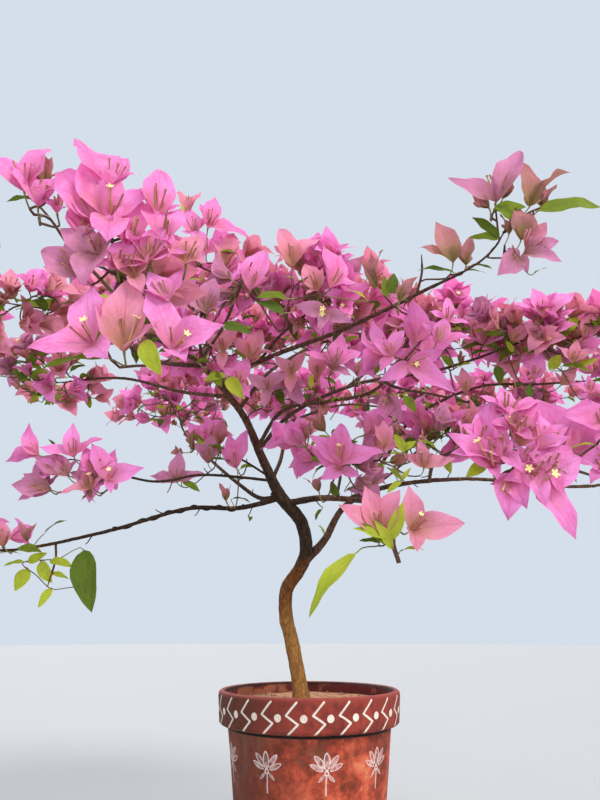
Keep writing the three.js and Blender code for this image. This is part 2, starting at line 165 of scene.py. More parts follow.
# heads of the mauve tint stand where the bracts lie in shade: their colour there is painted shade
HEADS = {
    "leader": [
        ("salmon", 0, (250, 360), [(230, 336, 4), (262, 328, 0), (273, 352, 8)]),
        ("mauve", 0, (268, 390), [(246, 374, 4), (287, 370, 0), (264, 408, 12)]),
        ("salmon", 0, (224, 352), [(204, 334, 2), (237, 322, -4), (222, 370, 10)]),
        ("young", 0, (206, 374), [(196, 362, 2), (211, 360, 0)]),
        ("pink", 0, (238, 384), [(220, 366, 4), (248, 358, -4), (250, 398, 8)]),
        ("salmon", 0, (292, 374), [(274, 356, 0), (306, 352, 2), (290, 394, 10)]),
    ],
    "fore_left": [
        ("pink", 0, (24, 191), [(-14, 158, 4), (52, 147, -6), (36, 162, 14)]),
        ("young", 0, (44, 185), [(43, 153, 3), (52, 158, -2)]),
        ("pink", 0, (38, 206), [(68, 176, 0), (20, 168, -6), (56, 186, 14)]),
        ("pink", 0, (57, 213), [(46, 197, 2), (60, 196, 0), (69, 207, 4)]),
        ("pink", 0, (110, 190), [(75, 139, 0, 0.4), (128, 159, -4), (142, 174, 2)]),
        ("pink", 1, (111, 219), [(84, 157, 6), (150, 191, 4), (107, 241, 26)]),
        ("pink", 0, (99, 226), [(57, 170, 0), (66, 196, 10), (84, 172, -8)]),
        ("pink", 0, (156, 216), [(160, 168, 0), (182, 206, -2), (136, 186, 8)]),
        ("pink", 0, (130, 246), [(94, 212, 4), (142, 200, -6), (156, 236, 12)]),
        ("pink", 0, (164, 240), [(142, 202, 0), (182, 208, -4), (174, 246, 10)]),
        ("salmon", 0, (186, 264), [(166, 236, 2), (200, 234, -4), (208, 262, 6)]),
        ("pink", 0, (84, 238), [(68, 210, 0), (90, 198, -6), (98, 228, 10)]),
        ("mauve", 0, (99, 255), [(60, 228, 6), (83, 286, 22), (119, 226, 0)]),
        ("mauve", 0, (82, 274), [(40, 250, 6, 1.5), (66, 242, -2), (70, 284, 6, 1)]),
        ("pink", 0, (148, 262), [(127, 226, 2), (168, 224, 2), (188, 252, 6)]),
        ("salmon", 0, (150, 264), [(122, 256, 10), (140, 236, -4), (172, 246, 8)]),
        ("pink", 0, (118, 270), [(84, 262, 8), (130, 236, 0), (148, 264, 6)]),
        ("salmon", 0, (134, 278), [(112, 252, 4), (150, 246, 0), (142, 292, 10)]),
        ("pink", 0, (168, 302), [(148, 272, 0), (184, 270, -4), (140, 290, 6)]),
        ("pink", 0, (94, 344), [(28, 347, 14), (92, 284, 0, -0.3), (108, 358, 20)]),
        ("salmon", 0, (124, 351), [(130, 277, -4), (99, 296, 4), (160, 322, 14)]),
        ("pink", 1, (172, 350), [(225, 325, 12), (147, 290, 0, -0.2), (186, 362, 18)]),
    ],
    "top_left": [
        ("salmon", 0, (188, 212), [(177, 191, 0), (201, 192, 0), (189, 197, 4)]),
        ("pink", 0, (208, 228), [(215, 198, -2), (249, 237, 6), (200, 204, 4)]),
        ("pink", 0, (196, 236), [(186, 208, 0), (214, 214, -4), (180, 232, 8)]),
        ("pink", 0, (206, 254), [(192, 230, 2), (228, 238, -2), (198, 262, 8)]),
        ("salmon", 0, (226, 266), [(214, 240, 0), (241, 247, 2), (234, 232, -4)]),
        ("pink", 0, (222, 296), [(198, 276, 2), (248, 270, 4), (222, 268, -2)]),
    ],
    "fore_top": [
        ("mauve", 0, (207, 314), [(178, 288, 2), (214, 277, -2), (230, 300, 6)]),
        ("pink", 0, (250, 290), [(238, 262, 0), (266, 250, 0), (266, 280, 6)]),
        ("salmon", 0, (293, 266), [(279, 228, 0), (321, 239, 2), (274, 246, 4)]),
        ("pink", 0, (330, 288), [(323, 246, 0), (360, 284, 4), (341, 255, -4)]),
        ("salmon", 0, (318, 291), [(304, 263, 2), (323, 268, 6), (306, 294, 8)]),
        ("mauve", 2, (326, 312), [(295, 305, 4), (318, 332, 6), (352, 322, 0)]),
    ],
    "arch_spur": [
        ("young", 0, (453, 262), [(436, 222, 2), (459, 240, -2), (420, 247, 4)]),
        ("young", 0, (466, 265), [(471, 236, 0), (461, 246, 2)]),
        ("young", 0, (399, 301), [(417, 277, 2), (403, 279, -2)]),
        ("young", 0, (377, 287), [(371, 252, 2), (383, 250, -2), (358, 259, 0)]),
    ],
    "right_tip": [
        ("mauve", 0, (496, 202), [(449, 178, 4, 1.6), (521, 151, 2, 1.2), (492, 176, 14, 0.4)], 0.21),
        ("young", 0, (503, 198), [(507, 170, 4), (512, 180, 0)]),
        ("young", 0, (530, 206), [(521, 162, 6, 2.5), (545, 184, 0, 1), (569, 172, 0, -0.5)], 0.25),
        ("young", 0, (541, 206), [(557, 184, 0), (546, 190, 2)]),
        ("young", 0, (489, 208), [(472, 193, 0), (479, 200, 4)]),
        ("young", 0, (509, 234), [(500, 214, 0), (512, 216, 4)]),
        ("young", 0, (521, 240), [(516, 206, 2, 1.5), (531, 212, -2, 1), (510, 222, 4)], 0.27),
        ("mauve", 0, (524, 254), [(559, 241, 2), (562, 262, 8, 1.6), (540, 234, -4)], 0.25),
        ("mauve", 0, (519, 257), [(498, 275, 8, 1.4), (528, 272, 6, 1), (507, 248, 0)], 0.33),
        ("salmon", 1, (526, 250), [(536, 225, 0), (546, 222, 2)]),
    ],
    "left_low": [
        ("pink", 0, (74, 457), [(73, 423, 0), (39, 447, 6), (103, 438, -2)]),
        ("pink", 0, (64, 473), [(34, 461, 2), (56, 452, -4), (37, 479, 10)]),
        ("mauve", 0, (51, 490), [(12, 485, 4), (17, 501, 8), (24, 474, -2)]),
        ("pink", 1, (108, 481), [(92, 444, 4), (144, 468, 4), (111, 493, 18)]),
        ("salmon", 0, (91, 489), [(60, 494, 8), (84, 468, 0), (103, 476, 4)]),
        ("pink", 0, (96, 474), [(84, 447, 0), (78, 466, 8), (118, 458, 0)]),
        ("mauve", 0, (68, 476), [(55, 453, 0), (79, 459, -2), (34, 456, 2)]),
        ("mauve", 0, (92, 486, -338), [(70, 472, 2), (86, 452, 0, 1), (99, 454, 4)]),
        ("mauve", 0, (48, 488, -338), [(36, 462, 0), (22, 478, 4, 1), (60, 474, 0)]),
        ("young", 0, (88, 487, -335), [(81, 501, 2), (96, 503, 0)]),
    ],
    "left_inner": [
        ("mauve", 0, (177, 482), [(180, 451, 2), (150, 476, 2), (207, 475, 4)]),
        ("mauve", 0, (208, 463), [(194, 442, 2), (212, 434, -2), (222, 450, 4)]),
        ("pink", 0, (236, 468), [(229, 434, 0), (247, 430, -2), (221, 448, 4)]),
        ("young", 0, (226, 501), [(219, 483, 0), (231, 484, 2)]),
    ],
    "left_tip": [
        ("young", 0, (27, 541), [(19, 523, 0), (37, 523, 0), (28, 528, 6)]),
        ("salmon", 0, (4, 546), [(-10, 522, 0), (13, 528, 4), (2, 520, -4)]),
    ],
    "centre_low": [
        ("pink", 1, (338, 465), [(308, 434, 4), (341, 422, 0), (384, 452, 4)]),
        ("pink", 0, (341, 469), [(320, 480, 12), (314, 450, 6), (360, 476, 0)]),
        ("salmon", 0, (384, 448), [(374, 424, 2), (392, 425, 0), (383, 420, -4)]),
        ("salmon", 1, (424, 468), [(419, 439, 6), (403, 454, 2), (455, 459, 4)]),
        ("young", 0, (421, 447), [(421, 427, 0), (428, 434, 2)]),
        ("young", 0, (319, 492), [(303, 478, 2), (324, 474, 0)]),
        ("mauve", 0, (372, 484), [(392, 474, 2), (384, 466, -2)]),
    ],
    "low_centre": [
        ("salmon", 0, (380, 536), [(365, 487, -2), (400, 490, -4), (338, 505, 10)], 0.3),
        ("salmon", 1, (411, 530), [(409, 486, 2, 1.2), (466, 523, 4, 0.6), (417, 551, 28, 1.4)], 0.31),
    ],
    "centre_right": [
        ("pink", 1, (408, 364), [(379, 381, 6), (454, 392, 6), (443, 350, -2)], 0.23),
        ("pink", 0, (436, 344), [(472, 338, 4), (419, 321, 0), (446, 318, -4)]),
        ("pink", 0, (392, 356), [(372, 338, 2), (404, 330, 0), (380, 372, 6)]),
        ("pink", 0, (334, 367, -300), [(303, 352, 4), (342, 334, 0), (365, 352, 2)]),
        ("salmon", 0, (318, 378, -270), [(306, 360, 2), (328, 352, 0), (312, 350, 4)]),
        ("mauve", 0, (332, 370, -300), [(352, 376, 6), (321, 356, 0), (340, 352, 4)]),
        ("young", 0, (360, 378, -350), [(353, 366, 2), (365, 354, 0)]),
        ("salmon", 0, (373, 362, -370), [(364, 338, 0), (385, 343, 2), (377, 353, 6)]),
        ("salmon", 0, (392, 353, -400), [(396, 329, 0), (406, 337, 2), (385, 338, 2)]),
        ("mauve", 0, (388, 396, -340), [(368, 402, 4), (402, 422, 2), (380, 422, 8)]),
        ("salmon", 0, (362, 386, -350), [(357, 400, 4), (371, 394, 2)]),
        ("young", 0, (320, 398, -240), [(318, 419, 4), (331, 408, 2)]),
        ("salmon", 0, (306, 436, -240), [(302, 417, 0), (315, 415, 2), (318, 431, 4)]),
        ("mauve", 0, (284, 380, -200), [(304, 406, 4), (307, 383, 0), (270, 390, 4)]),
    ],
    "right_upper": [
        ("pink", 0, (447, 322), [(447, 297, 0), (470, 323, 2), (429, 311, 2)]),
        ("pink", 0, (542, 318), [(511, 303, 6), (532, 287, -2), (576, 292, 0)]),
        ("mauve", 0, (556, 320), [(550, 301, 2), (563, 302, 0)]),
        ("pink", 0, (484, 345, -190), [(466, 338, 4), (482, 312, 0), (508, 331, 6)]),
        ("salmon", 0, (476, 340, -185), [(478, 305, 0), (468, 320, 4), (494, 322, 2)]),
        ("salmon", 0, (511, 341, -200), [(507, 322, 0), (531, 325, 4), (521, 343, 6)]),
        ("salmon", 0, (546, 341, -215), [(540, 322, 0), (556, 330, 2), (533, 346, 4)]),
        ("salmon", 0, (572, 364, -225), [(555, 345, 4), (577, 340, 0), (601, 352, 6)]),
        ("salmon", 0, (584, 339, -225), [(574, 321, 0), (592, 313, -2), (604, 326, 4)]),
        ("pink", 0, (534, 379, -200), [(520, 361, 2), (540, 351, 0), (543, 372, 6)]),
        ("salmon", 0, (465, 393, -170), [(454, 375, 4), (462, 367, 0), (479, 376, 2)]),
        ("salmon", 0, (561, 385, -210), [(554, 371, 2), (576, 367, 0), (580, 385, 4)]),
        ("pink", 0, (590, 393, -220), [(571, 384, 2), (588, 375, 0), (606, 384, 4)]),
        ("young", 0, (459, 363, -180), [(459, 347, 0), (467, 355, 2)]),
    ],
    "fore_right": [
        ("pink", 0, (509, 415), [(479, 396, 2), (500, 387, -4), (543, 401, 2)]),
        ("pink", 1, (494, 468), [(446, 432, 4), (478, 414, -2), (498, 480, 16)], 0.25),
        ("pink", 0, (500, 463), [(451, 453, 8), (497, 422, -2), (513, 438, 4)], 0.27),
        ("salmon", 0, (519, 446), [(503, 416, 0), (527, 405, -2), (542, 430, 4)]),
        ("pink", 1, (536, 448), [(569, 424, 2), (570, 437, 10), (534, 405, -2)], 0.28),
        ("pink", 0, (522, 464), [(511, 440, 4), (537, 444, 0), (550, 462, 8)]),
        ("pink", 0, (512, 474), [(508, 520, 6), (527, 509, 10, 1.3), (490, 484, 4)]),
        ("pink", 0, (518, 434), [(496, 408, 0), (532, 396, -4), (540, 424, 8)]),
        ("pink", 0, (548, 468), [(528, 452, 6), (572, 446, -2), (560, 494, 12)]),
        ("pink", 0, (484, 446), [(460, 424, 2), (490, 404, -6), (506, 436, 8)]),
        ("pink", 0, (502, 454), [(470, 446, 6), (492, 418, -4), (524, 472, 16)], 0.27),
        ("pink", 1, (530, 472), [(504, 480, 10), (549, 438, -4), (546, 506, 16)], 0.28),
        ("pink", 0, (512, 430), [(489, 422, 6), (514, 400, -2), (534, 440, 10)]),
        ("pink", 1, (533, 482), [(576, 538, 12), (582, 457, 2), (512, 462, 6)]),
        ("pink", 0, (606, 426), [(561, 414, 4), (590, 400, -2), (612, 452, 8)]),
        ("pink", 0, (606, 470), [(583, 459, 4), (596, 446, 0), (590, 484, 6)]),
    ],
}

# Leaves that show one by one: shade, foot (pixels, depth Y), tip (pixels, how much nearer), half width
# as a share of the length, and how far the blade faces the viewer (0 edge on, 1 full)

LEAVES = {
    "leader": [
        ("lime", (228, 378, -262), (243, 399, 6), 0.3, 0.8),
        ("lime", (226, 376, -262), (203, 381, 4), 0.26, 0.6),
        ("dark", (262, 364, -225), (279, 366, 2), 0.24, 0.4),
        ("fresh", (212, 372, -262), (222, 387, 6), 0.32, 0.8),
    ],
    "fore_left": [
        ("lime", (143, 341, -700), (161, 375, 4), 0.27, 1),
        ("fresh", (104, 358, -690), (38, 371, 0), 0.13, 0.5),
        ("dark", (36, 200, -650), (6, 202, 0), 0.2, 0.2),
        ("fresh", (118, 273, -680), (152, 262, 6), 0.2, 0.3),
        ("fresh", (116, 278, -680), (146, 277, 4), 0.2, 0.2),
        ("dark", (222, 326, -640), (252, 334, 4), 0.25, 0.6),
        ("fresh", (46, 196, -650), (58, 190, 2), 0.3, 0.5),
    ],
    "top_left": [
        ("lime", (188, 222, -350), (184, 202, 2), 0.3, 0.8),
        ("dark", (201, 238, -350), (192, 229, 2), 0.3, 0.5),
        ("lime", (206, 281, -380), (185, 281, 2), 0.25, 0.3),
        ("fresh", (236, 252, -380), (218, 251, 2), 0.3, 0.5),
    ],
    "fore_top": [
        ("fresh", (287, 299, -492), (255, 298, 6), 0.27, 0.55),
        ("dark", (284, 313, -492), (256, 302, 6), 0.27, 0.6),
        ("fresh", (297, 280, -500), (281, 277, 2), 0.3, 0.4),
        ("lime", (366, 299, -430), (346, 290, 2), 0.28, 0.4),
    ],
    "arch_spur": [
        ("dark", (391, 294, -430), (394, 273, 2), 0.3, 0.9),
        ("fresh", (386, 298, -430), (384, 276, 0), 0.2, 0.6),
        ("dark", (455, 273, -487), (417, 271, 0), 0.16, 0.5),
        ("dark", (457, 273, -487), (487, 273, 0), 0.14, 0.4),
        ("dark", (470, 266, -500), (493, 269, 0), 0.16, 0.15),
    ],
    "right_tip": [
        ("fresh", (539, 211, -580), (602, 208, 4), 0.2, 0.62),
        ("fresh", (494, 209, -570), (526, 207, 6), 0.26, 0.8),
        ("fresh", (497, 206, -570), (514, 222, 6), 0.3, 0.7),
        ("dark", (499, 238, -545), (472, 217, 2), 0.22, 0.7),
        ("fresh", (498, 239, -545), (469, 238, 2), 0.26, 0.6),
        ("fresh", (533, 275, -560), (549, 268, 2), 0.2, 0.3),
    ],
    "left_inner": [
        ("dark", (231, 462, -160), (203, 463, 2), 0.2, 0.3),
        ("dark", (232, 499, -140), (251, 503, 2), 0.2, 0.3),
        ("fresh", (183, 482, -160), (200, 492, 2), 0.25, 0.5),
    ],
    "left_tip": [
        ("dark", (44, 534, -255), (68, 520, 2), 0.22, 0.3),
        ("fresh", (18, 548, -270), (42, 552, 4), 0.24, 0.5),
    ],
    "left_hanging": [
        ("dark", (84, 550, -255), (92, 612, 6), 0.27, 1),
        ("lime", (24, 562, -255), (3, 566, 2), 0.22, 0.4),
        ("lime", (28, 562, -255), (47, 553, 2), 0.28, 0.7),
        ("lime", (28, 569, -255), (15, 591, 4), 0.38, 0.9),
        ("lime", (40, 562, -255), (52, 583, 4), 0.3, 0.8),
        ("lime", (48, 574, -255), (69, 579, 2), 0.2, 0.4),
        ("lime", (50, 561, -255), (73, 567, 2), 0.25, 0.5),
        ("lime", (52, 588, -262), (38, 608, 2), 0.25, 0.7),
    ],
    "centre_low": [
        ("lime", (405, 452, -370), (394, 434, 2), 0.3, 0.7),
        ("lime", (404, 450, -370), (416, 441, 2), 0.3, 0.6),
        ("fresh", (420, 441, -370), (437, 449, 2), 0.25, 0.4),
        ("lime", (401, 481, -370), (387, 493, 3), 0.22, 0.5),
        ("fresh", (402, 480, -370), (386, 467, 2), 0.2, 0.5),
        ("lime", (402, 480, -370), (411, 468, 2), 0.2, 0.5),
        ("dark", (345, 492, -330), (363, 487, 2), 0.22, 0.3),
        ("dark", (336, 496, -330), (331, 481, 2), 0.3, 0.8),
    ],
    "low_centre": [
        ("lime", (390, 540, -450), (403, 502, 2), 0.22, 0.8),
        ("lime", (384, 538, -455), (353, 528, 6), 0.2, 0.5),
        ("dark", (380, 542, -450), (359, 541, 2), 0.25, 0.4),
        ("lime", (403, 550, -455), (426, 551, 2), 0.2, 0.3),
        ("lime", (356, 553, -455), (308, 618, 4), 0.15, 0.35),
        ("fresh", (386, 545, -452), (352, 521, 4), 0.16, 0.5),
        ("lime", (392, 549, -450), (374, 520, 4), 0.2, 0.6),
    ],
    "centre_right": [
        ("fresh", (299, 361, -225), (284, 367, 2), 0.3, 0.7),
        ("fresh", (375, 374, -385), (376, 359, 2), 0.35, 0.9),
        ("dark", (277, 388, -200), (283, 405, 2), 0.3, 0.9),
        ("fresh", (355, 397, -330), (364, 393, 2), 0.25, 0.5),
        ("lime", (311, 388, -230), (311, 373, 0), 0.2, 0.8),
        ("fresh", (336, 384, -285), (323, 377, 2), 0.25, 0.5),
        ("fresh", (404, 396, -345), (416, 413, 2), 0.3, 0.7),
        ("dark", (366, 384, -365), (386, 386, 2), 0.2, 0.3),
    ],
    "right_upper": [
        ("dark", (463, 349, -185), (487, 344, 2), 0.2, 0.5),
        ("dark", (470, 356, -185), (496, 351, 2), 0.2, 0.4),
        ("fresh", (452, 365, -180), (441, 355, 2), 0.35, 0.8),
        ("lime", (458, 367, -180), (475, 363, 2), 0.2, 0.4),
        ("dark", (538, 340, -205), (521, 332, 2), 0.25, 0.6),
        ("fresh", (556, 337, -220), (570, 329, 2), 0.35, 0.8),
        ("lime", (566, 331, -225), (578, 317, 2), 0.3, 0.7),
        ("lime", (549, 369, -215), (561, 355, 2), 0.35, 0.8),
        ("fresh", (562, 366, -225), (594, 374, 2), 0.2, 0.5),
        ("lime", (579, 367, -225), (598, 359, 2), 0.25, 0.5),
        ("lime", (513, 352, -205), (506, 341, 2), 0.3, 0.7),
        ("dark", (497, 366, -185), (500, 385, 2), 0.3, 0.6),
        ("dark", (530, 386, -200), (528, 399, 2), 0.35, 0.7),
        ("fresh", (500, 322, -195), (505, 312, 2), 0.3, 0.7),
    ],
    "fore_right": [
        ("lime", (604, 447, -640), (567, 449, 2), 0.14, 0.3),
        ("dark", (606, 478, -640), (583, 462, 2), 0.2, 0.3),
        ("lime", (485, 463, -650), (466, 477, 3), 0.3, 0.7),
        ("dark", (484, 459, -650), (455, 458, 2), 0.16, 0.2),
    ],
}

# Twigs that show one by one: the places they pass (pixels, depth Y), and their radius at both ends

TWIGS = {
    "fore_left": [([(113, 292, -590), (93, 271, -605), (76, 255, -620), (62, 236, -635),
                    (52, 221, -645), (36, 203, -650), (27, 196, -652)], 2.3, 1.0)],
    "fore_top": [([(281, 332, -430), (287, 312, -450), (289, 300, -460), (296, 285, -475),
                   (308, 277, -490)], 1.5, 0.8),
                 ([(289, 300, -460), (305, 297, -470), (322, 295, -478), (331, 289, -484)], 0.9, 0.7)],
    "arch_spur": [([(403, 307, -415), (412, 315, -420), (418, 331, -425)], 1.1, 0.7)],
    "right_tip": [([(505, 232, -548), (517, 221, -560), (530, 212, -570), (540, 208, -578)], 1.7, 1.0),
                  ([(487, 257, -525), (500, 258, -535), (519, 257, -545)], 1.2, 0.9),
                  ([(499, 240, -540), (497, 222, -546), (495, 203, -552)], 1.3, 1.0)],
    "centre_right": [([(290, 398, -190), (294, 413, -200), (301, 433, -215)], 0.9, 0.7),
                     ([(347, 392, -310), (342, 402, -310), (330, 420, -305)], 0.9, 0.6)],
    "left_hanging": [([(22, 563, -255), (36, 575, -258), (52, 589, -262), (66, 588, -262),
                       (80, 586, -262)], 0.8, 0.6)],
    "low_centre": [([(400, 521, -425), (393, 541, -440), (399, 563, -442)], 2.7, 2.5)],
}

# How deep in the crown (Y) the feet of those heads are, if they tell no depth of their own

HEAD_DEPTHS = {
    "leader": -240, "fore_left": -690, "top_left": -375, "fore_top": -480, "arch_spur": -487,
    "right_tip": -570, "left_low": -345, "left_inner": -150, "left_tip": -262, "centre_low": -355,
    "low_centre": -440, "centre_right": -465, "right_upper": -250, "fore_right": -660,
}

# Where the picture bounds a mass, the room for its random sprays: least and greatest X, and least and
# greatest Z

ROOM = {
    "fore_left": (-190, -146, 640, 668), "top_left": (-400, -100, 0, 895), "top_centre": (-400, 400, 0, 900),
    "left_edge": (-900, 0, 0, 800), "left_low": (-365, -300, 0, 612), "fore_top": (-400, -75, 0, 792),
    "centre_right": (62, 400, 0, 686), "back_left": (-1000, 1000, 846, 2000),
}

# Colours of the thin sheets: light, deep, at the foot, of the veins, and of the light that comes
# through. Then how far the foot's colour spreads and what share of light comes through

BRACT_COLOURS = {
    "pink": ((0.93, 0.35, 0.77), (0.81, 0.19, 0.46), (0.66, 0.25, 0.24), (0.62, 0.12, 0.34),
             (0.85, 0.2, 0.52), 0.75, 0.38),
    # the mauve bracts: a duller, deeper copy of the pink, as painted shade for bracts in shade, and partly
    # the dusky colour of older bracts
    "mauve": ((0.7, 0.29, 0.5), (0.53, 0.18, 0.3), (0.36, 0.2, 0.11), (0.36, 0.11, 0.22),
              (0.55, 0.18, 0.34), 0.85, 0.38),
    "salmon": ((0.88, 0.34, 0.56), (0.73, 0.235, 0.34), (0.42, 0.25, 0.08), (0.55, 0.16, 0.2),
               (0.78, 0.26, 0.34), 0.85, 0.38),
    "young": ((0.58, 0.225, 0.3), (0.44, 0.17, 0.17), (0.2, 0.21, 0.03), (0.32, 0.1, 0.09),
              (0.44, 0.2, 0.13), 0.95, 0.36),
}

LEAF_COLOURS = {
    "fresh": ((0.165, 0.225, 0.014), (0.09, 0.135, 0.01), (0.17, 0.22, 0.025), (0.28, 0.35, 0.07),
              (0.24, 0.32, 0.016), 0.4, 0.34),
    "dark": ((0.085, 0.125, 0.012), (0.04, 0.07, 0.008), (0.08, 0.14, 0.012), (0.2, 0.28, 0.05),
             (0.12, 0.18, 0.01), 0.4, 0.25),
    "lime": ((0.4, 0.46, 0.035), (0.22, 0.29, 0.015), (0.4, 0.4, 0.04), (0.56, 0.6, 0.14),
             (0.46, 0.55, 0.035), 0.4, 0.34),
}

# Plain coats: two near tones, how fine their grains are, how rough and how shiny

FINE_COATS = {
    "twig bark": ((0.05, 0.022, 0.016), (0.15, 0.075, 0.045), 700, 0.6, 0.25),
    "green stalks": ((0.13, 0.12, 0.03), (0.3, 0.26, 0.09), 700, 0.6, 0.25),
    "closed tube flowers": ((0.26, 0.1, 0.07), (0.46, 0.2, 0.13), 900, 0.55, 0.3),
    "open tube flowers": ((0.42, 0.24, 0.09), (0.62, 0.42, 0.16), 900, 0.55, 0.3),
    "cream stars": ((0.78, 0.6, 0.2), (0.86, 0.74, 0.34), 900, 0.6, 0.3),
}

# How bracts and leaves are dealt out, drawn and joined

FIRST_SEED = 100  # of the limbs' dice
LEAF_SHADES = {"fresh": 5, "dark": 4, "lime": 2}  # how often each is dealt out
TILES = 4  # sheets along each side of the map that they are drawn in
SHEETS_IN_A_PIECE = 1800

# Sizes of what grows, in metres: least and greatest lengths, and radii along the stalks

BRACT_LENGTH = (0.042, 0.054)
YOUNG_LENGTH = (0.024, 0.036)
LEAF_LENGTH = {"spray": (0.022, 0.044), "twig": (0.02, 0.04), "spur": (0.016, 0.034)}
STALK_LENGTH = (0.009, 0.024)
HEAD_STALK = [0.0009, 0.0008, 0.0008, 0.0012]
LEAF_STALK = [0.0007, 0.0006, 0.0007]
SEEN_LEAF_STALK = [0.0009, 0.0008, 0.0007, 0.0007, 0.0008]
BROADEST = 0.0195  # half width of the largest bracts that show one by one
BROAD = {"young": 0.26, "fore": 0.32, "other": 0.285}  # their half width as a share of their length
SPRAY_DEPTH = (0.024, 0.06)  # how deep inside its mass a spray starts
SPRAY_GAP, LEAST_GAP = 0.05, 0.012  # between two sprays, as tried first and last
TWIG_STEP, SEEN_TWIG_STEP = 0.011, 0.006  # between the places that a twig passes
TWIG_RADIUS, TWIG_GAIN = 0.55, 0.42  # in millimetres; it gains with the root of what it carries

# Camera, sky and light

CAMERA = np.array((-0.0154, -1.106, 0.377))
PITCH = math.radians(20.66)  # how far the camera looks up
VIEW = 600  # how many pixels wide a thing looks that is as wide as it is far away
MIDDLE_PIXEL = (300, 400)
NEARER = np.array((0.0, -math.cos(PITCH), -math.sin(PITCH)))
SKY, SKY_STRENGTH = (0.73, 0.81, 0.91, 1), 0.91
LIGHTS = {  # where each comes from, its strength and its colour
    "key": ((0.6, -0.55, 0.75), 3.3, (1, 0.97, 0.92)),
    "fill": ((-0.25, -0.9, -0.05), 2.2, (1, 0.97, 0.94)),
    "back": ((-0.2, 0.65, 0.8), 2.7, (1, 0.98, 0.95)),
}
SUN_WIDTH = 28  # degrees; a wide sun casts soft shadows
FLOOR_RADIUS = 14  # metres


def place_camera():
    """Stands the camera close in front of the pot, looking up into the crown."""
    data = bpy.data.cameras.new("camera")
    data.lens = 27
    data.sensor_width = 36
    data.clip_start = 0.02
    camera = bpy.data.objects.new("camera", data)
    camera.location = CAMERA
    camera.rotation_euler = (math.radians(90) + PITCH, 0, 0)
    bpy.context.scene.collection.objects.link(camera)
    bpy.context.scene.camera = camera


def seen_at(px, py, depth):
    """The place at a depth (Y in millimetres) that the camera sees at a pixel of the picture."""
    side, rise = (px - MIDDLE_PIXEL[0]) / VIEW, (MIDDLE_PIXEL[1] - py) / VIEW
    ahead = math.cos(PITCH) - rise * math.sin(PITCH)
    up = math.sin(PITCH) + rise * math.cos(PITCH)
    return CAMERA + np.array((side, ahead, up)) * (depth * MM - CAMERA[1]) / ahead


def soft_light(name, comes_from, strength, colour):
    """A wide sun that shines from a direction."""
    data = bpy.data.lights.new(name, "SUN")
    data.angle = math.radians(SUN_WIDTH)
    data.energy = strength
    data.color = colour
    lamp = bpy.data.objects.new(name, data)
    lamp.rotation_euler = Vector(comes_from).to_track_quat("Z", "Y").to_euler()
    bpy.context.scene.collection.objects.link(lamp)


# Shaders


class Value:
    """A socket of a shader that takes part in sums like a number."""

    def __init__(self, paint, socket):
        self.paint = paint
        self.socket = socket

    def __add__(self, other):
        return self.paint.maths("ADD", self, other)

    def __sub__(self, other):
        return self.paint.maths("SUBTRACT", self, other)

    def __rsub__(self, other):
        return self.paint.maths("SUBTRACT", other, self)

    def __mul__(self, other):
        return self.paint.maths("MULTIPLY", self, other)

    def __truediv__(self, other):
        return self.paint.maths("DIVIDE", self, other)

    def __abs__(self):
        return self.paint.maths("ABSOLUTE", self)

    __radd__ = __add__
    __rmul__ = __mul__


